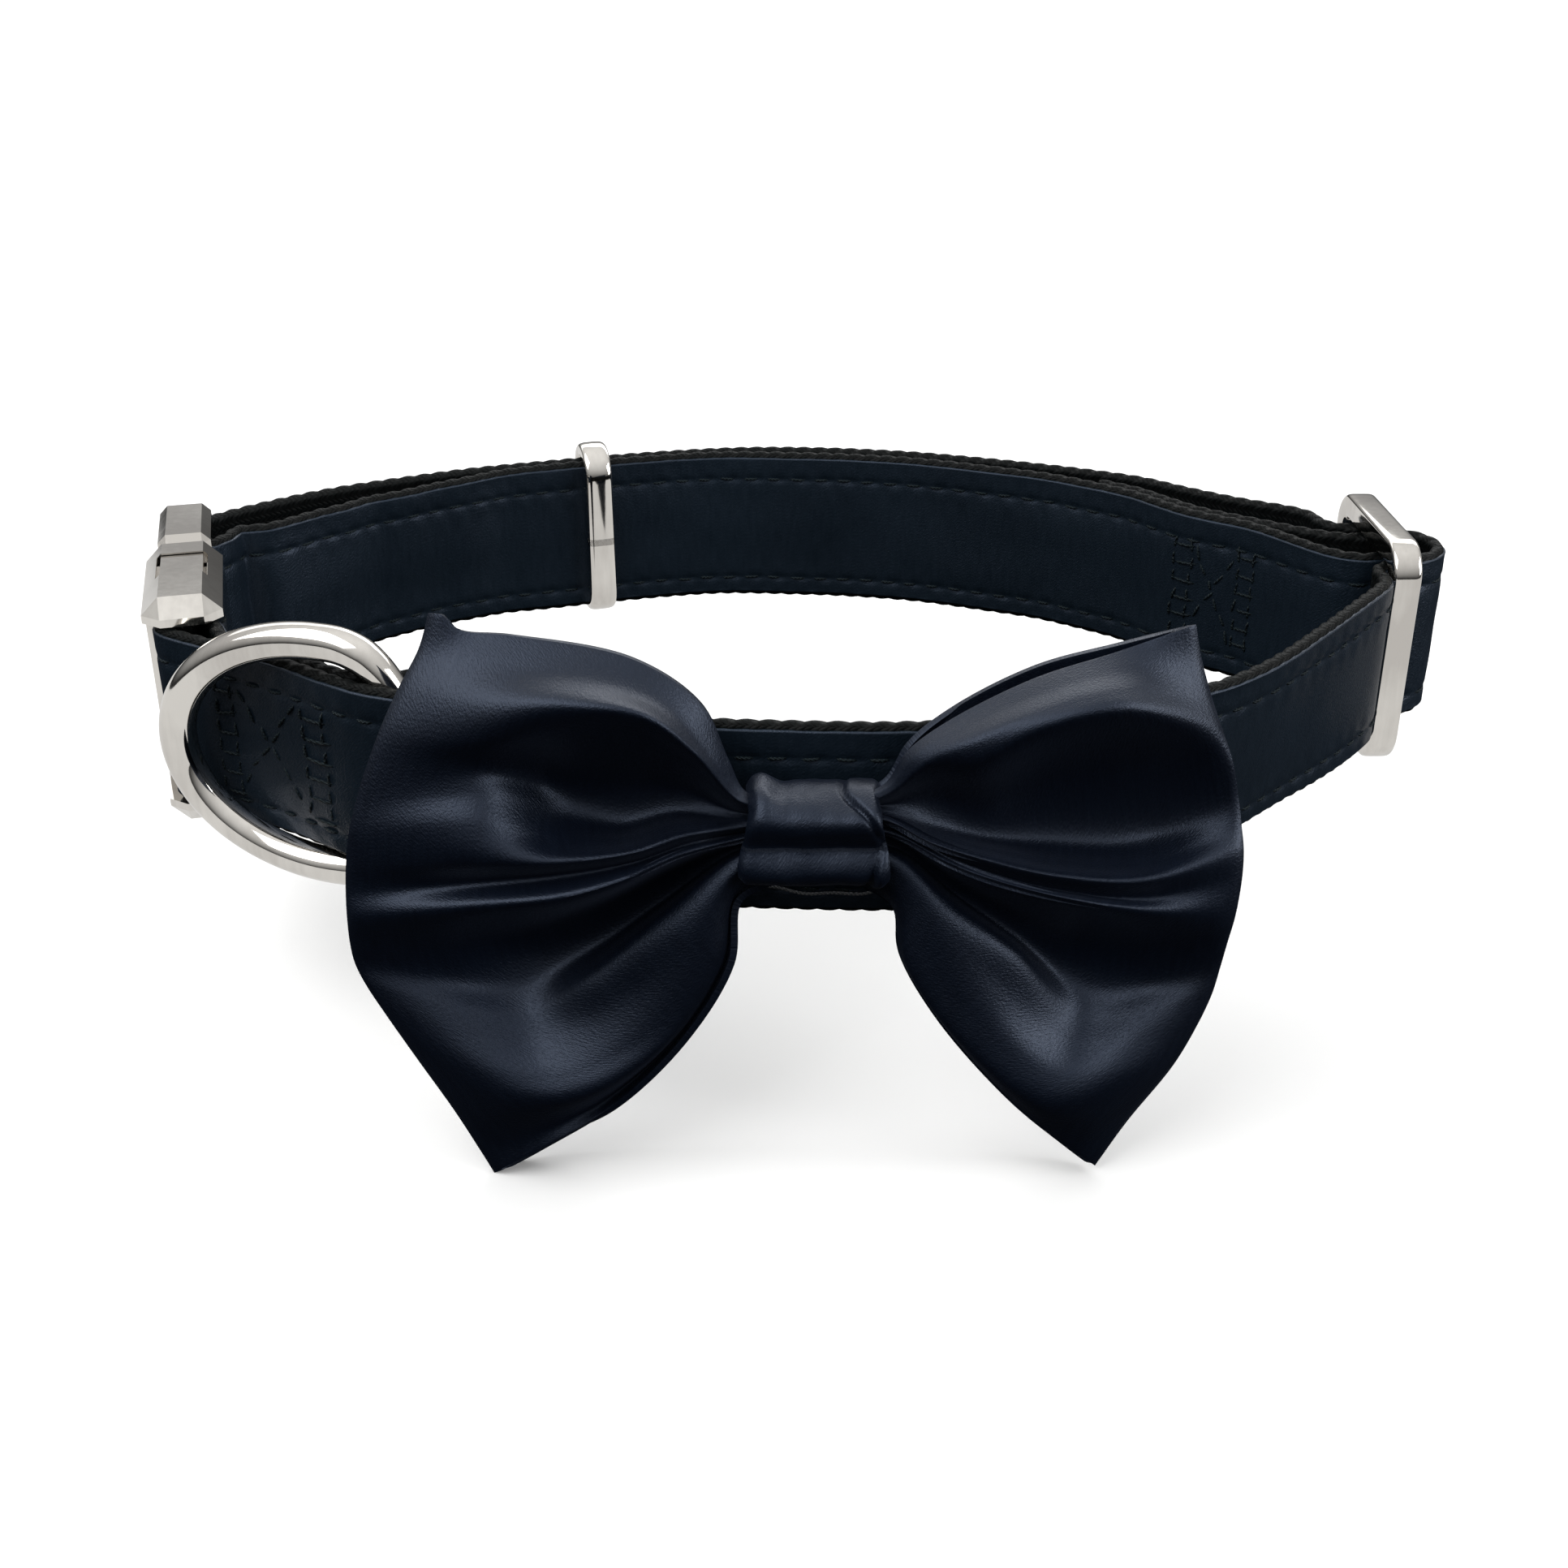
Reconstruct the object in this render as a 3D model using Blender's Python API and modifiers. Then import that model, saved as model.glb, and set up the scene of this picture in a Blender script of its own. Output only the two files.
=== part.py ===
"""Pet collar with a satin bow: a faced webbing strap that runs through a side-release
buckle, a three-bar slider and a keeper loop, with a leash ring held in a sewn pocket.

Metres, +Z up.  The loop lies level round the Z axis, at the middle of the band's height.
The bow faces -Y, the buckle is on the -X side and the slider on the +X side.
"""
import math

import bpy
import bmesh
from mathutils import Matrix, Vector

MM = 0.001
CLEAR = 0.3 * MM  # between pieces that touch or are sewn together

# Loop, measured at the middle of the webbing
LOOP_WIDTH = 183.0 * MM
LOOP_DEPTH = 111.5 * MM

# Strap: nylon webbing with a satin facing on its outer side
WEB_WIDTH = 25.0 * MM
WEB_THICK = 1.2 * MM
SATIN_WIDTH = 24.0 * MM
SATIN_THICK = 0.5 * MM
SATIN_END = 0.8 * MM  # webbing left bare at each end of the strap
SEAM_END_FRONT = 13.0 * MM  # folded end past the leash ring
SEAM_END_SIDE = 29.0 * MM  # folded end past the slider
FOLD_EASE = 0.3 * MM  # looseness of the strap's folds round a bar
LEAN = math.radians(7.0)  # how far the slack stretches tip from upright

# Side-release buckle
BUCKLE_LENGTH = 43.0 * MM
BUCKLE_HEIGHT = 33.0 * MM
SOCKET_LENGTH = 26.5 * MM
SOCKET_THICK = 10.5 * MM
SOCKET_CHAMFER = 2.4 * MM
PLUG_THICK = 7.4 * MM
PLUG_CHAMFER = 1.2 * MM
SHELL_WALL = 1.8 * MM
BUCKLE_BAR = 3.6 * MM
PLUG_BAR_INSET = 5.4 * MM  # bar centre from the end of the buckle
SOCKET_BAR_INSET = 3.0 * MM
PRONG_REACH = 15.0 * MM
PRONG_WIDTH = 4.2 * MM
TONGUE_WIDTH = 6.0 * MM
BUTTON_LENGTH = 8.0 * MM
STRAP_SIDE = 0.5 * MM  # between the strap's edges and the metal beside them

# Three-bar slider
SLIDER_LENGTH = 29.0 * MM
SLIDER_RAIL = 2.5 * MM
SLIDER_THICK = 3.6 * MM
SLIDER_BAR = 3.6 * MM
SLIDER_ROUND = 0.8 * MM
SLIDER_SLACK = 0.9 * MM  # strap standing off the middle bar's fold

# Leash ring and keeper
RING_WIRE = 4.2 * MM
RING_REACH = 33.0 * MM  # bar centre to the far wire's centre
RING_SIDE = 1.4 * MM  # between the ring's wire and the strap's edges
RING_CORNER = 4.5 * MM
RING_SWING = -15.5  # degrees, tip direction off -X at rest
KEEPER_STRIP = 4.3 * MM
KEEPER_THICK = 2.0 * MM
KEEPER_SIDE = 0.7 * MM
KEEPER_SLIT = 0.5 * MM

# Bow
CLOTH = 0.8 * MM
BOW_SPAN = 56.0 * MM  # middle of the knot to the edge of a wing
BOW_HEIGHT = 71.0 * MM
BOW_PUFF = 6.4 * MM  # half the hollow between a wing's two layers
BOW_LEAN = 7.0 * MM  # how far the lower tips stand forward of the upper ones
PLEAT = 1.3 * MM
KNOT_WIDTH = 17.2 * MM
KNOT_HEIGHT = 14.6 * MM
KNOT_DEPTH = 12.0 * MM
KNOT_WALL = 1.0 * MM
KNOT_OFFSET = 3.9 * MM  # the bow sits a little right of the middle
KNOT_LIFT = 3.8 * MM

# Shares of half the loop's width and depth: the webbing's middle line
FRONT_RUN = [
    (-0.822, -0.541),
    (-0.748, -0.607),
    (-0.684, -0.675),
    (-0.634, -0.736),
    (-0.585, -0.794),
    (-0.535, -0.832),
    (-0.470, -0.860),
    (-0.328, -0.922),
    (-0.164, -0.977),
    (0.030, -1.004),
    (0.175, -1.006),
    (0.330, -0.965),
    (0.460, -0.889),
    (0.570, -0.787),
    (0.668, -0.640),
    (0.745, -0.500),
    (0.805, -0.392),
    (0.865, -0.275),
    (0.910, -0.180),
]
BACK_RUN = [
    (0.860, 0.440),
    (0.800, 0.495),
    (0.708, 0.606),
    (0.640, 0.702),
    (0.545, 0.782),
    (0.432, 0.857),
    (0.318, 0.920),
    (0.228, 0.962),
    (0.118, 0.993),
    (0.025, 1.006),
    (-0.068, 1.006),
    (-0.160, 0.986),
    (-0.250, 0.954),
    (-0.345, 0.912),
    (-0.440, 0.862),
    (-0.560, 0.795),
    (-0.685, 0.697),
    (-0.790, 0.602),
    (-0.885, 0.480),
    (-0.965, 0.345),
]
# Slack between the back's two layers: share of the back's length from the buckle's
# bar, share of half the loop's depth
BACK_SLACK = [
    (0.000, 0.000),
    (0.035, 0.070),
    (0.080, 0.140),
    (0.140, 0.110),
    (0.190, 0.066),
    (0.250, 0.030),
    (0.310, 0.000),
    (0.470, 0.000),
    (0.560, 0.022),
    (0.660, 0.026),
    (0.760, 0.045),
    (0.860, 0.095),
    (0.935, 0.145),
    (1.000, 0.155),
]
# Middle of each fitting, in the same shares, and its turn about Z in degrees
BUCKLE_PLACE = (-0.928, -0.103, 194.7)
SLIDER_PLACE = (0.950, 0.142, 7.3)
RING_PLACE = (-0.515, -0.842)  # nearest point of the front run to the ring's bar
KEEPER_SHARE = 0.375  # along the back from the buckle's bar

# Shares of BOW_SPAN and BOW_HEIGHT from the knot's middle: upper edge, lower edge
LEFT_EDGES = [
    ((0.226, 0.128), (0.226, -0.170)),
    ((0.268, 0.205), (0.246, -0.290)),
    ((0.395, 0.278), (0.345, -0.446)),
    ((0.560, 0.310), (0.500, -0.560)),
    ((0.690, 0.328), (0.620, -0.620)),
    ((0.785, 0.342), (0.716, -0.660)),
]
RIGHT_EDGES = [
    ((0.226, 0.125), (0.226, -0.165)),
    ((0.262, 0.182), (0.244, -0.285)),
    ((0.385, 0.248), (0.318, -0.420)),
    ((0.565, 0.288), (0.450, -0.535)),
    ((0.680, 0.312), (0.555, -0.600)),
    ((0.765, 0.330), (0.627, -0.646)),
]
EDGE_PLACES = (0.22, 0.36, 0.54, 0.74, 0.90, 1.0)  # share of the way out to the fold
BACK_FLAT = 0.60  # the layer next to the band swells less than the front one
LEFT_BULGE = 0.292
RIGHT_BULGE = 0.222

STRIP_OUT = WEB_THICK / 2 + CLEAR + SATIN_THICK  # webbing's middle to the satin's face
LAYER_PITCH = WEB_THICK + CLEAR  # two webbings sewn back to back


def clear_scene():
    for item in list(bpy.data.objects):
        bpy.data.objects.remove(item, do_unlink=True)


def collection(name):
    group = bpy.data.collections.new(name)
    bpy.context.scene.collection.children.link(group)
    return group


def material(name, colour, roughness, metallic=0.0):
    made = bpy.data.materials.new(name)
    made.use_nodes = True
    shader = made.node_tree.nodes["Principled BSDF"]
    shader.inputs["Base Color"].default_value = (*colour, 1.0)
    shader.inputs["Roughness"].default_value = roughness
    shader.inputs["Metallic"].default_value = metallic
    return made


def place(item, group, parent=None):
    for owner in list(item.users_collection):
        owner.objects.unlink(item)
    group.objects.link(item)
    if parent is not None:
        item.parent = parent
    return item


def mesh_object(name, bm, group, parent=None):
    mesh = bpy.data.meshes.new(name)
    bm.to_mesh(mesh)
    bm.free()
    return place(bpy.data.objects.new(name, mesh), group, parent)


def box(name, low, high, group, parent=None):
    """A box between two corners in the parent's frame."""
    bm = bmesh.new()
    bmesh.ops.create_cube(bm, size=1.0)
    size = Vector(high) - Vector(low)
    middle = (Vector(high) + Vector(low)) / 2
    bmesh.ops.scale(bm, vec=size, verts=bm.verts)
    bmesh.ops.translate(bm, vec=middle, verts=bm.verts)
    return mesh_object(name, bm, group, parent)


def post(name, radius, height, at, group, parent=None, sides=20):
    """An upright round bar."""
    bm = bmesh.new()
    bmesh.ops.create_cone(bm, cap_ends=True, segments=sides, radius1=radius,
                          radius2=radius, depth=height)
    bmesh.ops.translate(bm, vec=Vector((at[0], at[1], 0.0)), verts=bm.verts)
    return mesh_object(name, bm, group, parent)


def guide(item):
    item.hide_render = True
    item.display_type = "WIRE"
    return item


def boolean(item, other, operation):
    step = item.modifiers.new(other.name, "BOOLEAN")
    step.object = guide(other)
    step.operation = operation
    step.solver = "EXACT"


def bevel(item, width, segments=2, angle=40.0):
    step = item.modifiers.new("Edges", "BEVEL")
    step.width = width
    step.segments = segments
    step.limit_method = "ANGLE"
    step.angle_limit = math.radians(angle)


def solidify(item, thickness):
    step = item.modifiers.new("Thickness", "SOLIDIFY")
    step.thickness = thickness
    step.offset = 0.0
    step.use_even_offset = True


def smooth_shade(item, angle=35.0):
    item.data.shade_smooth()
    item.data.set_sharp_from_angle(angle=math.radians(angle))


# ---- plane curves: lists of Vector((x, y)) ----

def spline(points, step):
    """A smooth line through the points, sampled about every step."""
    ends = [points[0] * 2 - points[1]] + points + [points[-1] * 2 - points[-2]]
    line = []
    for a, b, c, d in zip(ends, ends[1:], ends[2:], ends[3:]):
        k1 = max((b - a).length, 1e-6) ** 0.5
        k2 = max((c - b).length, 1e-6) ** 0.5
        k3 = max((d - c).length, 1e-6) ** 0.5
        m1 = (b - a) / k1 - (c - a) / (k1 + k2) + (c - b) / k2
        m2 = (c - b) / k2 - (d - b) / (k2 + k3) + (d - c) / k3
        count = max(2, round((c - b).length / step))
        for i in range(count):
            t = i / count
            line.append(b * (2 * t**3 - 3 * t**2 + 1) + c * (3 * t**2 - 2 * t**3)
                        + m1 * k2 * (t**3 - 2 * t**2 + t) + m2 * k2 * (t**3 - t**2))
    line.append(points[-1].copy())
    return line


def lengths(line):
    total = [0.0]
    for a, b in zip(line, line[1:]):
        total.append(total[-1] + (b - a).length)
    return total


def tangent(line, i):
    return (line[min(i + 1, len(line) - 1)] - line[max(i - 1, 0)]).normalized()


def left_of(direction):
    return Vector((-direction.y, direction.x))


def point_at(line, distance):
    marks = lengths(line)
    for i in range(1, len(line)):
        if marks[i] >= distance:
            share = (distance - marks[i - 1]) / (marks[i] - marks[i - 1])
            return line[i - 1].lerp(line[i], share), (line[i] - line[i - 1]).normalized()
    return line[-1], tangent(line, len(line) - 1)


def beside(line, reach):
    """The line moved to its left by reach(distance along it)."""
    marks = lengths(line)
    return [p + left_of(tangent(line, i)) * reach(marks[i]) for i, p in enumerate(line)]


def table_value(table, x):
    """Smooth value of a two-column table at x."""
    if x <= table[0][0]:
        return table[0][1]
    for (x0, y0), (x1, y1) in zip(table, table[1:]):
        if x <= x1:
            t = (x - x0) / (x1 - x0)
            return y0 + (y1 - y0) * t * t * (3 - 2 * t)
    return table[-1][1]


def bump(distance, half):
    """1 at zero, falling to 0 at half."""
    if abs(distance) >= half:
        return 0.0
    return math.cos(math.pi / 2 * distance / half) ** 2


def arc(centre, radius, start, turn, count):
    angle = math.atan2(start.y, start.x)
    return [centre + Vector((math.cos(angle + turn * i / count),
                             math.sin(angle + turn * i / count))) * radius
            for i in range(count + 1)]


def wrap(centre, first, last):
    """Points between two places on a fold round a bar, the long way to the left."""
    start = first - centre
    end = last - centre
    turn = (math.atan2(end.y, end.x) - math.atan2(start.y, start.x)) % (2 * math.pi)
    return arc(centre, WRAP, start, turn, 12)[1:-1]


def relax(line, rounds):
    for _ in range(rounds):
        line = ([line[0]]
                + [line[i] * 0.5 + (line[i - 1] + line[i + 1]) * 0.25
                   for i in range(1, len(line) - 1)] + [line[-1]])
    return line


def even(line, step):
    total = lengths(line)[-1]
    count = round(total / step)
    return [point_at(line, total * i / count)[0] for i in range(count)] + [line[-1]]


def thin(line, most_turn, most_length):
    """Indices of the points that the line needs to keep its bends."""
    keep = [0]
    turn = 0.0
    for i in range(1, len(line) - 1):
        before = line[i] - line[i - 1]
        after = line[i + 1] - line[i]
        turn += abs(before.angle_signed(after))
        if turn >= most_turn or (line[i] - line[keep[-1]]).length >= most_length:
            keep.append(i)
            turn = 0.0
    return keep + [len(line) - 1]


def shares(points):
    return [Vector((x * LOOP_WIDTH / 2, y * LOOP_DEPTH / 2)) for x, y in points]


class Frame:
    """A fitting's own plane: x points out of the loop, y along the strap."""

    def __init__(self, place_shares):
        x, y, turn = place_shares
        self.origin = Vector((x * LOOP_WIDTH / 2, y * LOOP_DEPTH / 2))
        self.turn = math.radians(turn)
        self.out = Vector((math.cos(self.turn), math.sin(self.turn)))
        self.along = left_of(self.out)

    def at(self, out, along):
        return self.origin + self.out * out + self.along * along

    def empty(self, name, group):
        item = bpy.data.objects.new(name, None)
        item.location = (*self.origin, 0.0)
        item.rotation_euler = (0.0, 0.0, self.turn)
        return place(item, group)


# ---- the strap's route ----

BUCKLE = Frame(BUCKLE_PLACE)
SLIDER = Frame(SLIDER_PLACE)
WRAP = BUCKLE_BAR / 2 + CLEAR + FOLD_EASE + WEB_THICK / 2  # webbing's middle round a bar
PLUG_BAR = -(BUCKLE_LENGTH / 2 - PLUG_BAR_INSET)
SOCKET_BAR = BUCKLE_LENGTH / 2 - SOCKET_BAR_INSET
BAR_PITCH = (SLIDER_LENGTH - SLIDER_BAR) / 2
UNDER_BAR = SLIDER_THICK / 2 + CLEAR + STRIP_OUT  # strap inside a slider bar
ROUND_BAR = SLIDER_THICK / 2 + CLEAR + FOLD_EASE + WEB_THICK / 2
OVER_FOLD = ROUND_BAR + STRIP_OUT + CLEAR + WEB_THICK / 2 + SLIDER_SLACK
POCKET_DROP = WEB_THICK / 2 + CLEAR + RING_WIRE / 2  # strap's middle to the ring's bar
POCKET_HALF = 2.2 * (RING_WIRE + WEB_THICK)
STEP = 1.0 * MM


def route_front():
    """From the socket's bar across the front to the slider's near bar."""
    run = shares(FRONT_RUN)
    bar = BUCKLE.at(0.0, SOCKET_BAR)
    away = run[0] - bar
    heading = away.normalized()
    heading.rotate(Matrix.Rotation(math.asin(WRAP / away.length), 2))
    start = bar - left_of(heading) * WRAP
    return spline([start] + run + [SLIDER.at(-UNDER_BAR, -BAR_PITCH - SLIDER_BAR / 2)], STEP)


def route_back():
    """From the slider's far bar round the back to the plug's bar."""
    bar = BUCKLE.at(0.0, PLUG_BAR)
    return spline([SLIDER.at(-UNDER_BAR, BAR_PITCH + SLIDER_BAR / 2)] + shares(BACK_RUN)
                  + [bar + BUCKLE.out * WRAP], STEP)


def ring_place(front):
    """The leash ring's bar: its place along the front run and its centre."""
    reach = lengths(front)
    target = shares([RING_PLACE])[0]
    near = min(range(len(front)), key=lambda i: (front[i] - target).length)
    centre = front[near] + left_of(tangent(front, near)) * POCKET_DROP
    return reach[near], centre


def strap_route():
    front = route_front()
    ring_mark, _ = ring_place(front)
    bar = BUCKLE.at(0.0, SOCKET_BAR)

    def return_gap(mark):
        pocket = (2 * POCKET_DROP + CLEAR - LAYER_PITCH) * bump(mark - ring_mark,
                                                                      POCKET_HALF)
        fold = (2 * WRAP - LAYER_PITCH) * bump(mark, 3.4 * WRAP)
        return LAYER_PITCH + pocket + fold

    marks = lengths(front)
    folded = [p for p, mark in zip(beside(front, return_gap), marks)
              if mark <= ring_mark + SEAM_END_FRONT]
    folded.reverse()
    wrap_front = wrap(bar, folded[-1], front[0])

    past_bar = BAR_PITCH + SLIDER_BAR / 2
    before_bar = BAR_PITCH - 0.4 * SLIDER_BAR
    through = [
        SLIDER.at(-UNDER_BAR, -past_bar),
        SLIDER.at(-1.03 * UNDER_BAR, -before_bar),
        SLIDER.at(-0.70 * UNDER_BAR, -0.70 * BAR_PITCH),
        SLIDER.at(0.16 * OVER_FOLD, -0.565 * BAR_PITCH),
        SLIDER.at(0.74 * OVER_FOLD, -0.40 * BAR_PITCH),
        SLIDER.at(OVER_FOLD, -0.14 * BAR_PITCH),
        SLIDER.at(OVER_FOLD, 0.14 * BAR_PITCH),
        SLIDER.at(0.74 * OVER_FOLD, 0.40 * BAR_PITCH),
        SLIDER.at(0.16 * OVER_FOLD, 0.565 * BAR_PITCH),
        SLIDER.at(-0.70 * UNDER_BAR, 0.70 * BAR_PITCH),
        SLIDER.at(-1.03 * UNDER_BAR, before_bar),
        SLIDER.at(-UNDER_BAR, past_bar),
    ]
    middle = spline(through, STEP)

    back = route_back()
    plug_bar = BUCKLE.at(0.0, PLUG_BAR)
    returning = back[::-1]
    whole = lengths(returning)[-1]

    def inner_gap(mark):
        slack = table_value(BACK_SLACK, mark / whole) * LOOP_DEPTH / 2
        fold = (2 * WRAP - LAYER_PITCH) * bump(mark, 3.6 * WRAP)
        return -(LAYER_PITCH + slack + fold)

    inner = beside(returning, inner_gap)
    wrap_back = wrap(plug_bar, back[-1], inner[0])
    inner = inner[:-8]
    turn_in = [
        SLIDER.at(-3.03 * UNDER_BAR, 0.38 * BAR_PITCH),
        SLIDER.at(-2.30 * UNDER_BAR, -0.03 * BAR_PITCH),
        SLIDER.at(-1.60 * UNDER_BAR, -0.27 * BAR_PITCH),
        SLIDER.at(-0.86 * UNDER_BAR, -0.385 * BAR_PITCH),
        SLIDER.at(0.03 * ROUND_BAR, -0.36 * BAR_PITCH),
        SLIDER.at(0.90 * ROUND_BAR, -0.16 * BAR_PITCH),
        SLIDER.at(1.05 * ROUND_BAR, 0.05 * BAR_PITCH),
        SLIDER.at(0.60 * ROUND_BAR, 0.22 * BAR_PITCH),
        SLIDER.at(-0.45 * ROUND_BAR, 0.28 * BAR_PITCH),
        SLIDER.at(-1.60 * ROUND_BAR, 0.40 * BAR_PITCH),
    ]
    seam = []
    approach = inner[::-1]
    sewn = beside(approach, lambda mark: -LAYER_PITCH)
    for p, mark in zip(sewn, lengths(approach)):
        if 3.0 * MM <= mark <= SEAM_END_SIDE:
            seam.append(p)
    corner = spline([inner[-1]] + turn_in + [seam[0]], STEP)

    route = folded + wrap_front + front + middle[1:] + back[1:] + wrap_back + inner
    route = route + corner[1:] + seam[1:]
    return relax(even(route, 0.7 * MM), 3)


def strap_lean(line):
    """Tip of the band at each point: outward at the front right, inward at the back left."""
    bar = BUCKLE.at(0.0, PLUG_BAR)
    turned = min(range(len(line)), key=lambda i: (line[i] - bar).length)
    values = []
    for i, p in enumerate(line):
        x = p.x / (LOOP_WIDTH / 2)
        lean = 0.0
        if p.y < -0.15 * LOOP_DEPTH / 2 and x > 0.0:
            lean = LEAN * bump(x - 0.66, 0.24)
        if i > turned and p.y > 0.0:
            lean = LEAN * bump(x + 0.66, 0.24)
        values.append(lean)
    return values


def ribbon(name, line, lean, width, thickness, group):
    """An upright strip along the line, as an open surface with thickness."""
    bm = bmesh.new()
    foot = []
    for p in line:
        foot.append(bm.verts.new((p.x, p.y, -width / 2)))
    edges = [bm.edges.new(pair) for pair in zip(foot, foot[1:])]
    raised = bmesh.ops.extrude_edge_only(bm, edges=edges)["geom"]
    top = [v for v in raised if isinstance(v, bmesh.types.BMVert)]
    bmesh.ops.translate(bm, vec=Vector((0.0, 0.0, width)), verts=top)
    for i, p in enumerate(line):
        side = -left_of(tangent(line, i)) * math.tan(lean[i]) * width / 2
        foot[i].co -= Vector((*side, 0.0))
    marks = {(round(v.co.x, 7), round(v.co.y, 7)): v for v in top}
    for i, p in enumerate(line):
        side = -left_of(tangent(line, i)) * math.tan(lean[i]) * width / 2
        marks[(round(Vector((*p, 0)).x, 7), round(Vector((*p, 0)).y, 7))].co += Vector(
            (*side, 0.0))
    item = mesh_object(name, bm, group)
    solidify(item, thickness)
    return item


def strap(group, web_look, satin_look):
    line = strap_route()
    keep = thin(line, math.radians(6.0), 5.0 * MM)
    lean = strap_lean(line)
    web = ribbon("webbing_strap", [line[i] for i in keep], [lean[i] for i in keep],
                 WEB_WIDTH, WEB_THICK, group)
    web.data.materials.append(web_look)
    facing = beside(line, lambda mark: -(WEB_THICK / 2 + CLEAR + SATIN_THICK / 2))
    marks = lengths(line)
    total = marks[-1]
    inside = [i for i in keep if SATIN_END <= marks[i] <= total - SATIN_END]
    satin = ribbon("satin_facing", [facing[i] for i in inside],
                   [lean[i] for i in inside], SATIN_WIDTH, SATIN_THICK, group)
    satin.data.materials.append(satin_look)
    for item in (web, satin):
        smooth_shade(item)
    return line


# ---- metal fittings ----

def buckle(group, tools, look):
    frame = BUCKLE.empty("buckle", group)
    half = BUCKLE_LENGTH / 2
    tall = BUCKLE_HEIGHT / 2
    inside = WEB_WIDTH / 2 + STRAP_SIDE
    fold = WRAP + STRIP_OUT + 2 * CLEAR
    joint = half - SOCKET_LENGTH
    deep = SOCKET_BAR - fold - SHELL_WALL  # bottom of the socket's hollow
    hollow = SOCKET_THICK / 2 - SHELL_WALL
    prong_out = tall - SHELL_WALL
    past = 5.0 * MM  # cutters run past what they cut

    socket = box("buckle_socket", (-SOCKET_THICK / 2, joint, -tall),
                 (SOCKET_THICK / 2, half, tall), group, frame)
    bevel(socket, SOCKET_CHAMFER, segments=1)
    boolean(socket, box("socket_hollow", (-hollow, joint - past, -prong_out),
                        (hollow, deep, prong_out), tools, frame), "DIFFERENCE")
    boolean(socket, box("strap_gate", (-SOCKET_THICK, SOCKET_BAR - fold, -inside),
                        (SOCKET_THICK, half + past, inside), tools, frame), "DIFFERENCE")
    window = joint + PRONG_REACH - BUTTON_LENGTH
    boolean(socket, box("button_windows", (-hollow, window - CLEAR, -tall - past),
                        (hollow, window + BUTTON_LENGTH + CLEAR, tall + past),
                        tools, frame), "DIFFERENCE")
    boolean(socket, post("socket_bar", BUCKLE_BAR / 2, 2 * inside + 2 * MM,
                         (0.0, SOCKET_BAR), tools, frame), "UNION")

    base = joint - CLEAR
    plug = box("buckle_plug", (-PLUG_THICK / 2, -half, -tall),
               (PLUG_THICK / 2, base, tall), group, frame)
    bevel(plug, PLUG_CHAMFER, segments=1)
    boolean(plug, box("plug_gate", (-PLUG_THICK, -half - past, -inside),
                      (PLUG_THICK, PLUG_BAR + fold, inside), tools, frame), "DIFFERENCE")
    boolean(plug, post("plug_bar", BUCKLE_BAR / 2, 2 * inside + 2 * MM,
                       (0.0, PLUG_BAR), tools, frame), "UNION")
    flat = hollow - CLEAR
    reach = joint + PRONG_REACH
    for side in (-1, 1):
        edge = sorted((side * (prong_out - CLEAR), side * (prong_out - CLEAR - PRONG_WIDTH)))
        boolean(plug, box("prong", (-flat, base - 1.5 * MM, edge[0]),
                          (flat, reach, edge[1]), tools, frame), "UNION")
        press = sorted((side * (prong_out - 2 * CLEAR), side * (tall - CLEAR)))
        boolean(plug, box("button", (-flat + CLEAR, reach - BUTTON_LENGTH, press[0]),
                          (flat - CLEAR, reach - CLEAR, press[1]), tools, frame), "UNION")
    boolean(plug, box("tongue", (-flat, base - 1.5 * MM, -TONGUE_WIDTH / 2),
                      (flat, deep - 2 * MM, TONGUE_WIDTH / 2), tools, frame), "UNION")
    for item in (socket, plug):
        item.data.materials.append(look)


def slider(group, tools, look):
    frame = SLIDER.empty("slider", group)
    inside = WEB_WIDTH / 2 + STRAP_SIDE
    tall = inside + SLIDER_RAIL
    half = SLIDER_LENGTH / 2
    item = box("slider_frame", (-SLIDER_THICK / 2, -half, -tall),
               (SLIDER_THICK / 2, half, tall), group, frame)
    for side in (-1, 1):
        span = sorted((side * SLIDER_BAR / 2, side * (half - SLIDER_BAR)))
        boolean(item, box("slider_slot", (-SLIDER_THICK, span[0], -inside),
                          (SLIDER_THICK, span[1], inside), tools, frame), "DIFFERENCE")
    bevel(item, SLIDER_ROUND)
    item.data.materials.append(look)


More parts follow.
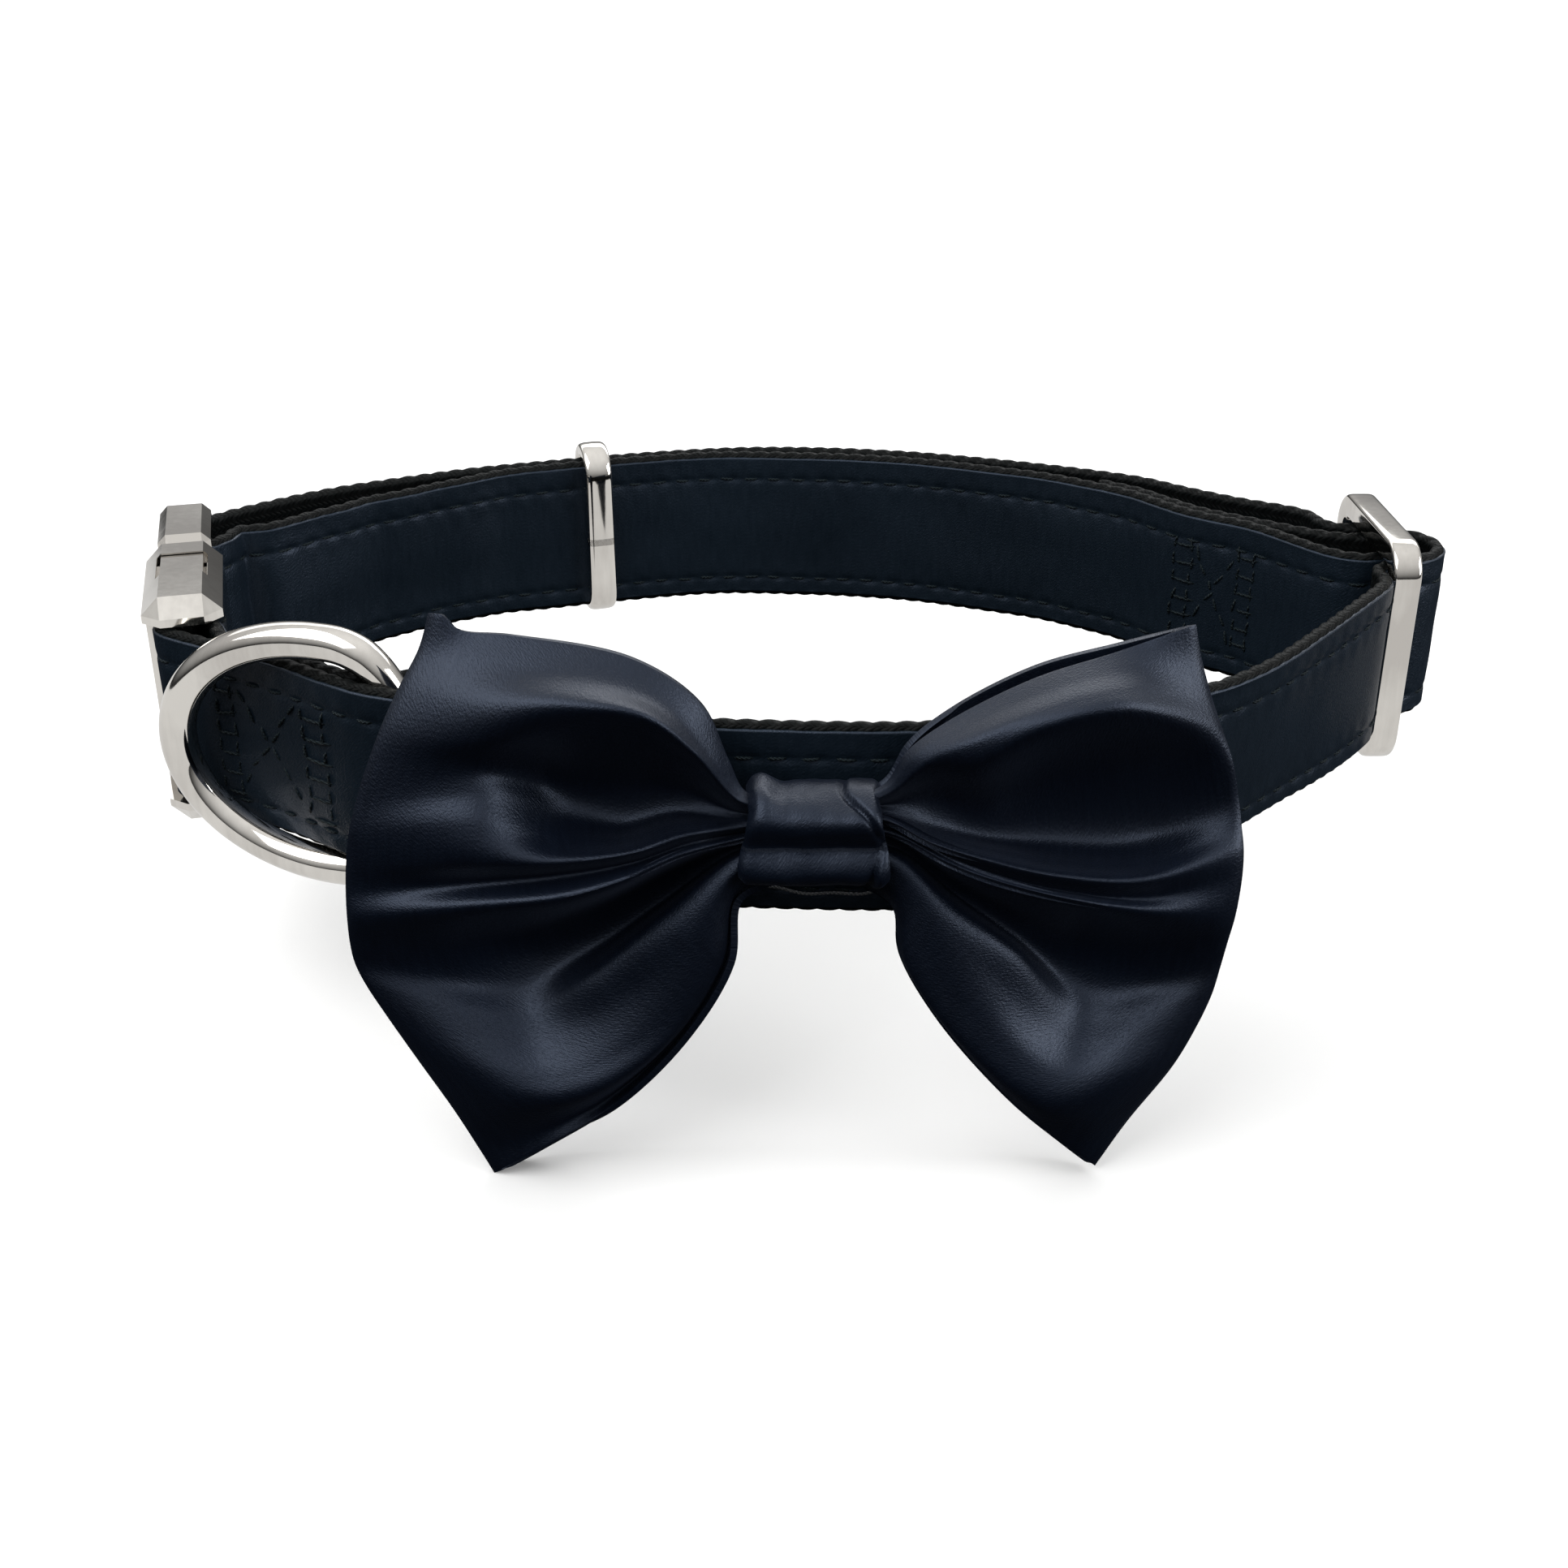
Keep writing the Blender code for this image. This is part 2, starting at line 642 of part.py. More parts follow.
def leash_ring(line_front, group, look):
    """A D of round wire; its straight bar, in the pocket, is on the object's origin."""
    _, centre = ring_place(line_front)
    tall = WEB_WIDTH / 2 + RING_SIDE + RING_WIRE / 2
    bend = RING_REACH - tall  # the arms run straight this far
    points = [Vector((0.0, -tall + RING_CORNER)), Vector((0.0, tall - RING_CORNER))]
    for i in range(1, 5):
        turn = math.pi / 2 * i / 4
        points.append(Vector((RING_CORNER * (1 - math.cos(turn)),
                              tall - RING_CORNER * (1 - math.sin(turn)))))
    for i in range(15):
        turn = math.pi / 2 - math.pi * i / 14
        points.append(Vector((bend + tall * math.cos(turn), tall * math.sin(turn))))
    for i in range(4):
        turn = math.pi / 2 * (4 - i) / 4
        points.append(Vector((RING_CORNER * (1 - math.cos(turn)),
                              -tall + RING_CORNER * (1 - math.sin(turn)))))
    curve = bpy.data.curves.new("leash_ring", "CURVE")
    curve.dimensions = "3D"
    wire = curve.splines.new("POLY")
    wire.points.add(len(points) - 1)
    for spot, p in zip(wire.points, points):
        spot.co = (p.x, 0.0, p.y, 1.0)
    wire.use_cyclic_u = True
    curve.bevel_depth = RING_WIRE / 2
    curve.bevel_resolution = 4
    item = place(bpy.data.objects.new("leash_ring", curve), group)
    item.location = (*centre, 0.0)
    item.rotation_euler = (0.0, 0.0, math.radians(180.0 + RING_SWING))
    curve.materials.append(look)


def keeper(group, look):
    """A flat wire loop round both layers, with the slit of its two ends inside."""
    returning = route_back()[::-1]
    total = lengths(returning)[-1]
    middle, heading = point_at(returning, KEEPER_SHARE * total)
    out = left_of(heading)
    middle = middle - out * LAYER_PITCH / 2
    wide = LAYER_PITCH / 2 + STRIP_OUT + CLEAR + KEEPER_THICK / 2
    tall = WEB_WIDTH / 2 + KEEPER_SIDE + KEEPER_THICK / 2
    corner = min(wide, tall) * 0.72
    path = [Vector((-wide, -KEEPER_SLIT / 2))]
    for cx, cy, start in ((-1, -1, 180.0), (1, -1, 270.0), (1, 1, 0.0), (-1, 1, 90.0)):
        for i in range(6):
            turn = math.radians(start + 90.0 * i / 5)
            path.append(Vector((cx * (wide - corner) + corner * math.cos(turn),
                                cy * (tall - corner) + corner * math.sin(turn))))
    path.append(Vector((-wide, KEEPER_SLIT / 2)))
    bm = bmesh.new()
    row = [bm.verts.new((-KEEPER_STRIP / 2, p.x, p.y)) for p in path]
    edges = [bm.edges.new(pair) for pair in zip(row, row[1:])]
    raised = bmesh.ops.extrude_edge_only(bm, edges=edges)["geom"]
    moved = [v for v in raised if isinstance(v, bmesh.types.BMVert)]
    bmesh.ops.translate(bm, vec=Vector((KEEPER_STRIP, 0.0, 0.0)), verts=moved)
    item = mesh_object("keeper_loop", bm, group)
    item.matrix_world = Matrix.Translation((*middle, 0.0)) @ Matrix.Rotation(
        math.atan2(heading.y, heading.x), 4, "Z")
    solidify(item, KEEPER_THICK)
    bevel(item, 0.32 * KEEPER_THICK)
    item.data.materials.append(look)


# ---- bow ----

def grid(name, rows, group, parent):
    """An open surface through rows of points, all rows of one length."""
    bm = bmesh.new()
    made = [[bm.verts.new(p) for p in row] for row in rows]
    for low, high in zip(made, made[1:]):
        for i in range(len(low) - 1):
            bm.faces.new((low[i], low[i + 1], high[i + 1], high[i]))
    return mesh_object(name, bm, group, parent)


def wing(name, side, edges, bulge, group, parent, look):
    """Two layers of cloth that meet in a fold at the outer edge and run into the knot."""
    gather = KNOT_HEIGHT / 2 - KNOT_WALL - CLEAR - CLOTH / 2 - 0.9 * MM
    apart = KNOT_DEPTH / 2 - KNOT_WALL - CLEAR - CLOTH / 2 - 1.2 * MM
    mouth = KNOT_WIDTH / 2
    stations = [
        (0.00, Vector((0.8 * MM, gather)), Vector((0.8 * MM, -gather)), apart),
        (0.07, Vector((0.66 * mouth, gather)), Vector((0.66 * mouth, -gather)), apart),
        (0.12, Vector((1.24 * mouth, 1.02 * gather)),
         Vector((1.24 * mouth, -1.02 * gather)), apart),
    ]
    for share, (top, low) in zip(EDGE_PLACES, edges):
        puff = BOW_PUFF * (1.0 - max(0.0, (share - 0.5) / 0.5) ** 2.2) ** 0.75
        puff = puff * min(1.0, 0.62 + share)
        stations.append((share, Vector((top[0] * BOW_SPAN, top[1] * BOW_HEIGHT)),
                         Vector((low[0] * BOW_SPAN, low[1] * BOW_HEIGHT)), puff))
    places = [-1.0, -0.78, -0.52, -0.26, 0.0, 0.26, 0.52, 0.78, 1.0]
    rows = []
    columns = [(s, 1) for s in stations[:-1]] + [(stations[-1], 0)]
    columns += [(s, -1) for s in stations[-2::-1]]
    for v in places:
        row = []
        for (share, top, low, puff), layer in columns:
            spot = low.lerp(top, (v + 1) / 2)
            out = spot.x + bulge * BOW_SPAN * share**2 * (1 - abs(v)**2.2)
            swell = puff * (1 - 0.30 * share * v * v)
            if layer > 0:
                swell = swell * BACK_FLAT
            depth = layer * swell + BOW_LEAN * share * (0.5 * v - 0.12)
            fold = PLEAT * math.cos(2.0 * math.pi * (1.25 * v + 0.15 * side))
            depth -= (0.2 + 0.8 * (layer < 0)) * fold * 4 * share * (1 - share)
            row.append((side * out, depth, spot.y))
        rows.append(row)
    if side > 0:
        rows.reverse()
    item = grid(name, rows, group, parent)
    step = item.modifiers.new("Soft", "SUBSURF")
    step.levels = 1
    step.render_levels = 1
    solidify(item, CLOTH)
    item.data.materials.append(look)
    item.data.shade_smooth()


def knot(group, parent, look):
    """A wrap of cloth round the middle of the bow, open at both sides."""
    tall = KNOT_HEIGHT / 2 - KNOT_WALL / 2
    deep = KNOT_DEPTH / 2 - KNOT_WALL / 2
    rows = []
    for x, share in ((-0.5, 0.975), (-0.32, 1.0), (0.0, 1.0), (0.32, 1.0), (0.5, 0.975)):
        row = []
        for i in range(17):
            turn = 2 * math.pi * i / 16
            y = math.copysign(abs(math.cos(turn))**0.5, math.cos(turn))
            z = math.copysign(abs(math.sin(turn))**0.5, math.sin(turn))
            row.append((x * KNOT_WIDTH, share * deep * y, share * tall * z))
        rows.append(row)
    item = grid("bow_knot", rows, group, parent)
    bm = bmesh.new()
    bm.from_mesh(item.data)
    bmesh.ops.remove_doubles(bm, verts=bm.verts, dist=0.01 * MM)
    bmesh.ops.recalc_face_normals(bm, faces=bm.faces)
    bm.to_mesh(item.data)
    bm.free()
    solidify(item, KNOT_WALL)
    item.data.materials.append(look)
    item.data.shade_smooth()


def bow(line_front, group, look):
    near = min(line_front, key=lambda p: abs(p.x - KNOT_OFFSET))
    frame = bpy.data.objects.new("bow", None)
    depth = near.y - STRIP_OUT - CLEAR - KNOT_DEPTH / 2
    frame.location = (KNOT_OFFSET, depth, KNOT_LIFT)
    place(frame, group)
    wing("bow_wing_left", -1, LEFT_EDGES, LEFT_BULGE, group, frame, look)
    wing("bow_wing_right", 1, RIGHT_EDGES, RIGHT_BULGE, group, frame, look)
    knot(group, frame, look)


clear_scene()
PARTS = collection("pet_bow_collar")
TOOLS = collection("cutters")
WEBBING = material("black_nylon_webbing", (0.012, 0.012, 0.014), 0.75)
SATIN = material("navy_satin", (0.012, 0.018, 0.045), 0.38)
BOW_SATIN = material("bow_satin", (0.012, 0.018, 0.045), 0.36)
METAL = material("polished_nickel", (0.72, 0.69, 0.65), 0.14, 1.0)
FRONT = route_front()
strap(PARTS, WEBBING, SATIN)
buckle(PARTS, TOOLS, METAL)
slider(PARTS, TOOLS, METAL)
leash_ring(FRONT, PARTS, METAL)
keeper(PARTS, METAL)
bow(FRONT, PARTS, BOW_SATIN)
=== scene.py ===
import math

import bmesh
import bpy
import numpy as np
from mathutils import Matrix, Vector, noise


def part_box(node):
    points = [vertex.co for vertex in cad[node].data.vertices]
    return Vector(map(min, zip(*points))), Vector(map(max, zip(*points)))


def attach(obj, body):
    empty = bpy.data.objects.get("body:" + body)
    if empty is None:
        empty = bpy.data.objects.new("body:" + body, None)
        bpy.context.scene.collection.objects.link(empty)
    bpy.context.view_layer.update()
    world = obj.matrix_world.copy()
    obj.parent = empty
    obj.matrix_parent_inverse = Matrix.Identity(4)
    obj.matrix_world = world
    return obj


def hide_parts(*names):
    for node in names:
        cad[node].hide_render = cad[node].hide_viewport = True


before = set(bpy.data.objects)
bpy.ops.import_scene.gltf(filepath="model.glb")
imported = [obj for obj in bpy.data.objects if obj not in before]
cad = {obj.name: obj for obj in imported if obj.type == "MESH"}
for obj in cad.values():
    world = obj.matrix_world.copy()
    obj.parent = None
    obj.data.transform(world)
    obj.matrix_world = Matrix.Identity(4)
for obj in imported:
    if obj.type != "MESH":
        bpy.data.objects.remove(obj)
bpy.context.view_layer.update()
mm = 0.001
print("frame loaded:", len(cad), "nodes")


# shader nodes, written as sums

class Wire:
    # one output socket; arithmetic on it adds Math nodes
    def __init__(self, look, socket):
        self.look = look
        self.socket = socket

    def maths(self, operation, *values):
        return self.look.add("Math", {"operation": operation}, dict(enumerate(values)))

    def __add__(self, other):
        return self.maths("ADD", self, other)

    def __radd__(self, other):
        return self.maths("ADD", other, self)

    def __sub__(self, other):
        return self.maths("SUBTRACT", self, other)

    def __rsub__(self, other):
        return self.maths("SUBTRACT", other, self)

    def __mul__(self, other):
        return self.maths("MULTIPLY", self, other)

    def __rmul__(self, other):
        return self.maths("MULTIPLY", other, self)

    def __truediv__(self, other):
        return self.maths("DIVIDE", self, other)

    def __rtruediv__(self, other):
        return self.maths("DIVIDE", other, self)

    def wave(self):
        return self.maths("SINE", self)

    def size(self):
        return self.maths("ABSOLUTE", self)

    def power(self, by):
        return self.maths("POWER", self, by)


class Look:
    # a Principled material; what is the same all over is set on the shader itself
    def __init__(self, name, fixed):
        self.material = bpy.data.materials.new(name)
        self.material.use_nodes = True
        self.tree = self.material.node_tree
        self.shader = self.tree.nodes["Principled BSDF"]
        for socket, value in fixed.items():
            self.shader.inputs[socket].default_value = value

    def add(self, kind, settings=None, sockets=None, out=0):
        node = self.tree.nodes.new("ShaderNode" + kind)
        for key, value in (settings or {}).items():
            if key == "stops":
                for _ in value[2:]:
                    node.color_ramp.elements.new(0.5)
                for stop, (place, shade) in zip(node.color_ramp.elements, value):
                    stop.position = place
                    stop.color = (shade, shade, shade, 1)
            else:
                setattr(node, key, value)
        for key, value in (sockets or {}).items():
            if isinstance(value, Wire):
                self.tree.links.new(value.socket, node.inputs[key])
            else:
                node.inputs[key].default_value = value
        return Wire(self, node.outputs[out])

    def feed(self, socket, wire):
        self.tree.links.new(wire.socket, self.shader.inputs[socket])

    def cloth(self):
        # along and across the cloth, in metres
        vector = self.add("Attribute", {"attribute_name": "cloth"}, out=1)
        return [self.add("SeparateXYZ", {}, {0: vector}, out=i) for i in range(3)]

    def mottle(self, scale, detail=3.0, stretch=(1, 1, 1), source="cloth"):
        # noise on the cloth's own coordinates, or on the object's
        if source == "cloth":
            vector = self.add("Attribute", {"attribute_name": "cloth"}, out=1)
        else:
            vector = self.add("TexCoord", {}, {}, out=3)
        vector = self.add("VectorMath", {"operation": "MULTIPLY"}, {0: vector, 1: stretch})
        return self.add("TexNoise", {}, {"Vector": vector, "Scale": scale, "Detail": detail})

    def blendColours(self, factor, first, second):
        return self.add("Mix", {"data_type": "RGBA"}, {0: factor, 6: first, 7: second}, out=2)

    def ramp(self, factor, stops):
        return self.add("ValToRGB", {"stops": stops}, {0: factor})

    def bumps(self, layers):
        # each layer is (height, metres, strength)
        normal = None
        for height, metres, strength in layers:
            sockets = {"Height": height, "Distance": metres, "Strength": strength}
            if normal is not None:
                sockets["Normal"] = normal
            normal = self.add("Bump", {}, sockets)
        self.feed("Normal", normal)


satin = {
    "dark": (0.0006, 0.0014, 0.0042, 1),
    "light": (0.0018, 0.0040, 0.0100, 1),
    "stripDark": (0.0024, 0.0058, 0.0098, 1),
    "stripLight": (0.0056, 0.0112, 0.0178, 1),
    "roughness": 0.42,
    "shine": (0.62, 0.74, 1.0, 1),
    "sheen": 0.03,
    # noise scales, coarse to fine
    "clouds": 38.0,
    "streaks": 260.0,
    "weave": 1300.0,
    "specks": 3000.0,
}
webbing = {
    # dark is the painted shade in the weave's grooves, light the raised picks
    "dark": (0.0005, 0.0008, 0.0009, 1),
    "light": (0.0024, 0.0036, 0.0038, 1),
    "rib": 0.0011,
    "pick": 0.0009,
    "fuzz": 1400.0,
}
# dark and light, and pale and white, are spread along the ply twist as painted shade between the plies
threadLook = {"dark": (0.003, 0.006, 0.008, 1), "light": (0.014, 0.025, 0.031, 1),
              "pale": (0.09, 0.10, 0.11, 1), "white": (0.22, 0.22, 0.23, 1),
              "ply": 0.55 * mm}
nickel = {"clean": (0.80, 0.77, 0.72, 1), "dull": (0.62, 0.59, 0.55, 1), "roughness": 0.07}
paper = {"low": (0.86, 0.86, 0.855, 1), "high": (0.90, 0.90, 0.895, 1)}


def satinCloth(name, tint):
    # slanting weave and fine specks over slow changes of shade
    look = Look(name, {
        "IOR": 1.50,
        "Specular Tint": satin["shine"],
        "Sheen Weight": satin["sheen"],
        "Sheen Roughness": 0.35,
        "Sheen Tint": (0.45, 0.55, 0.85, 1),
    })
    along, across, _ = look.cloth()
    slant = look.add("CombineXYZ", {}, {0: (along + across) * 0.7, 1: (across - along) * 3.2})
    weave = look.add("TexNoise", {}, {"Vector": slant, "Scale": satin["weave"], "Detail": 2.0})
    streaks = look.mottle(satin["streaks"], 4.0, (6.0, 1.0, 1.0))
    specks = look.mottle(satin["specks"], 2.0)
    cloudy = look.mottle(satin["clouds"], 3.0)
    shade = look.ramp(cloudy * 0.55 + streaks * 0.30 + specks * 0.15,
                      [(0.35, 0.0), (0.66, 1.0)])
    tone = look.blendColours(shade, tint[0], tint[1])
    look.feed("Base Color", tone)
    look.feed("Roughness", satin["roughness"] + 0.12 * (streaks - 0.5) - 0.10 * (specks - 0.5))
    look.bumps([
        (weave, 0.00010, 0.55),
        (specks, 0.00009, 0.60),
    ])
    return look.material


def wovenNylon():
    # plain-woven tape: raised picks in a herringbone, with painted shade that darkens the grooves
    # between them
    look = Look("blackNylonWebbing", {"IOR": 1.53, "Specular IOR Level": 0.10})
    along, across, side = look.cloth()
    rib = (across / webbing["rib"] * 3.1416).wave()
    chevron = (along / webbing["pick"] * 3.1416 + rib.size() * 2.2).wave().size()
    cords = rib.size().power(0.6)
    fuzz = look.mottle(webbing["fuzz"], 3.0)
    height = chevron * 0.6 + cords * 0.4
    # the base colour follows the weave's height: darker in the grooves and lighter on the raised picks,
    # painted shade, with random fuzz on top
    tone = look.blendColours(look.ramp(height * 0.7 + fuzz * 0.4, [(0.35, 0.0), (0.95, 1.0)]),
                             webbing["dark"], webbing["light"])
    look.feed("Base Color", tone)
    look.feed("Roughness", 0.62 - 0.16 * height + 0.08 * fuzz)
    look.bumps([(height, 0.00018, 0.6), (fuzz, 0.00006, 0.35)])
    return look.material


def sewingThread(name, tint):
    look = Look(name, {"IOR": 1.5, "Specular IOR Level": 0.22})
    along, across, _ = look.cloth()
    ply = (along / threadLook["ply"] * 6.2832 + across * 6.2832).wave()
    fuzz = look.mottle(900.0, 2.0)
    # the ply twist darkens the base colour between the plies: painted shade, over random fuzz
    shade = look.ramp(ply * 0.35 + fuzz, [(0.2, 0.0), (0.9, 1.0)])
    look.feed("Base Color", look.blendColours(shade,
                                              tint[0], tint[1]))
    look.feed("Roughness", 0.52 + 0.10 * fuzz)
    look.bumps([(ply, 0.00006, 0.8)])
    return look.material


def polishedNickel():
    look = Look("polishedNickel", {"Metallic": 1.0, "IOR": 1.5})
    wear = look.mottle(55.0, 4.0, source="object")
    hairline = look.mottle(900.0, 2.0, (1.0, 1.0, 0.12), source="object")
    tone = look.blendColours(look.ramp(wear * 0.8 + hairline * 0.2, [(0.40, 0.0), (0.62, 1.0)]),
                             nickel["dull"], nickel["clean"])
    look.feed("Base Color", tone)
    look.feed("Roughness", nickel["roughness"] + 0.06 * (wear - 0.5) + 0.03 * (hairline - 0.5))
    look.bumps([(wear, 0.00030, 0.08), (hairline, 0.000004, 0.10)])
    return look.material


def palePaper():
    look = Look("palePaper", {"Specular IOR Level": 0.1})
    grain = look.mottle(30.0, 4.0, source="object")
    look.feed("Base Color", look.blendColours(grain, paper["low"], paper["high"]))
    look.feed("Roughness", 0.75 + 0.1 * grain)
    return look.material


bowSatin = satinCloth("navyBowSatin", (satin["dark"], satin["light"]))
stripSatin = satinCloth("navyStripSatin", (satin["stripDark"], satin["stripLight"]))
tapeBlack = wovenNylon()
threadDark = sewingThread("threadPolyester", (threadLook["dark"], threadLook["light"]))
threadPale = sewingThread("threadPale", (threadLook["pale"], threadLook["white"]))
metal = polishedNickel()
print("materials made")


# meshes from rows of points

def build(name, points, faces, material, cloth=None):
    mesh = bpy.data.meshes.new(name)
    mesh.from_pydata(np.asarray(points, float).reshape(-1, 3).tolist(), [],
                     [tuple(face) for face in np.asarray(faces).tolist()])
    if cloth is not None:
        layer = mesh.attributes.new("cloth", "FLOAT_VECTOR", "POINT")
        layer.data.foreach_set("vector", np.asarray(cloth, np.float32).ravel())
    mesh.shade_smooth()
    mesh.materials.append(material)
    item = bpy.data.objects.new(name, mesh)
    bpy.context.scene.collection.objects.link(item)
    return item


def quads(rows, columns, closeRows=False, closeColumns=False, start=0):
    i = np.arange(rows if closeRows else rows - 1)
    j = np.arange(columns if closeColumns else columns - 1)
    i, j = np.meshgrid(i, j, indexing="ij")
    nextRow = (i + 1) % rows
    nextColumn = (j + 1) % columns
    return start + np.stack([i * columns + j, i * columns + nextColumn,
                             nextRow * columns + nextColumn, nextRow * columns + j],
                            -1).reshape(-1, 4)


def resample(points, count):
    # a smooth line through the points, at even distances
    points = np.asarray(points, float)
    ends = np.vstack([2 * points[0] - points[1], points, 2 * points[-1] - points[-2]])
    line = []
    for a, b, c, d in zip(ends, ends[1:], ends[2:], ends[3:]):
        k1 = max(np.linalg.norm(b - a), 1e-9) ** 0.5
        k2 = max(np.linalg.norm(c - b), 1e-9) ** 0.5
        k3 = max(np.linalg.norm(d - c), 1e-9) ** 0.5
        m1 = ((b - a) / k1 - (c - a) / (k1 + k2) + (c - b) / k2) * k2
        m2 = ((c - b) / k2 - (d - b) / (k2 + k3) + (d - c) / k3) * k2
        t = np.linspace(0, 1, 24, endpoint=False)[:, None]
        line.append(b * (2 * t**3 - 3 * t**2 + 1) + c * (3 * t**2 - 2 * t**3)
                    + m1 * (t**3 - 2 * t**2 + t) + m2 * (t**3 - t**2))
    line = np.vstack(line + [points[-1:]])
    marks = np.concatenate([[0], np.cumsum(np.linalg.norm(np.diff(line, axis=0), axis=1))])
    at = np.linspace(0, marks[-1], count)
    return np.stack([np.interp(at, marks, line[:, k]) for k in range(line.shape[1])], 1)


def waves(x, y, z, seed):
    # smooth noise from -1 to 1 at arrays of places
    flat = [noise.noise(Vector((a + seed * 7.3, b, c)))
            for a, b, c in zip(np.ravel(x), np.ravel(y), np.ravel(z))]
    return np.array(flat).reshape(np.shape(x))


def bell(x, width):
    return np.exp(-(x / width) ** 2)


def hump(x, size):
    # size is (height, place, width)
    return size[0] * bell(x - size[1], size[2])


# the strap's line, read off the CAD strap's own rings of four corners

def strapRings(node):
    bm = bmesh.new()
    bm.from_mesh(node.data)
    bmesh.ops.remove_doubles(bm, verts=bm.verts, dist=1e-6)
    near = {v.index: [e.other_vert(v).index for e in v.link_edges] for v in bm.verts}
    place = np.array([v.co for v in bm.verts])
    bm.free()

    def levels(start):
        seen = set(start)
        found = [list(start)]
        while found[-1]:
            found.append(sorted({n for v in found[-1] for n in near[v]} - seen))
            seen.update(found[-1])
        return found[:-1]

    far = levels([0])[-1][0]
    local = [v for level in levels([far])[:4] for v in level]
    middle = place[local].mean(0)
    away = (place[far] - middle)[:2]
    ahead = sorted(local, key=lambda v: -float(place[v][:2] @ away))[:4]
    rings = levels(ahead)
    line = []
    for ring in rings:
        spots = place[ring]
        high = spots[spots[:, 2] > 0].mean(0)
        low = spots[spots[:, 2] < 0].mean(0)
        line.append([*((high + low) / 2)[:2], *(high - low)[:2]])
    line = np.array(line)
    return line if line[0][1] < line[-1][1] else line[::-1]


strap = {
    "half": 12.5 * mm,
    "step": 0.4 * mm,
    "edgeHeight": 11.85 * mm,
    "edgeOut": 0.18 * mm,
    "edgeRadius": 0.88 * mm,
    "plait": 0.13 * mm,  # how far the strands of the woven edge stand out
    "plaitPitch": 2.7 * mm,
    "halfThick": 0.6 * mm,
}
facing = {
    "step": 0.65 * mm,
    "start": 0.8 * mm,
    "out": 1.38 * mm,
    "under": 0.72 * mm,
    "edge": 12.0 * mm,
    "topStitch": 8.3 * mm,
    "lowStitch": -9.3 * mm,
    "pitch": 4.0 * mm,  # of the stitches
    "groove": 0.24 * mm,
    "slack": 0.20 * mm,
    "edgeWave": 0.10 * mm,
}

rings = strapRings(cad["webbing_strap"])
rough = resample(rings, 6000)  # fine enough to measure the length
strapLength = float(np.linalg.norm(np.diff(rough[:, :2], axis=0), axis=1).sum())
print("strap rings", len(rings), "length", round(strapLength, 4))


sliderLoop = {"at": 275.5 * mm, "reach": 15 * mm, "out": 3.4 * mm}  # pushed past the slider


class Run:
    # the strap's middle line: places, outward sides and the band's tip, by distance
    def __init__(self, step):
        count = round(strapLength / step) + 1
        line = resample(rings, count)
        for _ in range(24):  # smoothing passes
            line[1:-1] = line[1:-1] * 0.5 + (line[:-2] + line[2:]) * 0.25
        self.s = np.linspace(0, strapLength, count)
        loose = np.clip(1 - np.abs(self.s - sliderLoop["at"]) / sliderLoop["reach"], 0, 1)
        line[:, 0] += sliderLoop["out"] * np.sin(loose * np.pi / 2) ** 2
        self.place = line[:, :2]
        along = np.gradient(self.place, axis=0)
        along /= np.linalg.norm(along, axis=1)[:, None]
        self.side = np.stack([along[:, 1], -along[:, 0]], 1)  # towards the satin
        self.tip = line[:, 2:] / (2 * strap["half"])

    def at(self, s, h, b):
        # distance along, height, distance out from the webbing's middle
        s, h, b = np.broadcast_arrays(s, h, b)
        out = np.empty(s.shape + (3,))
        for k in range(2):
            out[..., k] = (np.interp(s, self.s, self.place[:, k])
                           + b * np.interp(s, self.s, self.side[:, k])
                           + h * np.interp(s, self.s, self.tip[:, k]))
        out[..., 2] = h
        return out


run = Run(0.25 * mm)


def capEnds(count, ring):
    return [tuple(range(ring - 1, -1, -1)), tuple(range((count - 1) * ring, count * ring))]


def makeWebbing():
    s = np.arange(0, strapLength, strap["step"])
    turn = np.radians(np.linspace(-100, 100, 11))
    rows = []
    marks = []
    for sign in (1, -1):
        order = turn[::-1] if sign > 0 else turn
        for angle in order:
            strand = 2 * np.abs(np.sin(np.pi * (s / strap["plaitPitch"] + angle * 0.36))) - 1
            radius = strap["edgeRadius"] + strap["plait"] * strand * math.cos(angle * 0.6)
            height = sign * (strap["edgeHeight"] + radius * math.cos(angle))
            out = strap["edgeOut"] + radius * math.sin(angle)
            rows.append(run.at(s, height, out))
            marks.append(np.stack([s, np.full_like(s, sign * (strap["half"] + angle * 0.8 * mm)),
                                   np.full_like(s, 1.0)], 1))
        faces = (-0.95, -0.6, -0.2, 0.2, 0.6, 0.95)
        span = [-x for x in faces] if sign > 0 else faces
        back = -sign  # the inner side follows the top edge, the outer side the lower one
        for share in span:
            height = share * (strap["edgeHeight"] - 0.9 * mm) / 0.95
            rows.append(run.at(s, height, back * strap["halfThick"]))
            marks.append(np.stack([s, np.full_like(s, height), np.full_like(s, back * 0.5)], 1))
    points = np.stack(rows, 1)
    cloth = np.stack(marks, 1)
    faces = [tuple(f) for f in quads(len(s), len(rows), closeColumns=True).tolist()]
    faces += capEnds(len(s), len(rows))
    return buildMixed("webbingStrap", points, faces, tapeBlack, cloth)


def buildMixed(name, points, faces, material, cloth):
    mesh = bpy.data.meshes.new(name)
    mesh.from_pydata(points.reshape(-1, 3).tolist(), [], faces)
    layer = mesh.attributes.new("cloth", "FLOAT_VECTOR", "POINT")
    layer.data.foreach_set("vector", cloth.astype(np.float32).ravel())
    bm = bmesh.new()
    bm.from_mesh(mesh)
    bmesh.ops.recalc_face_normals(bm, faces=bm.faces)
    bm.to_mesh(mesh)
    bm.free()
    mesh.shade_smooth()
    mesh.materials.append(material)
    item = bpy.data.objects.new(name, mesh)
    bpy.context.scene.collection.objects.link(item)
    return item


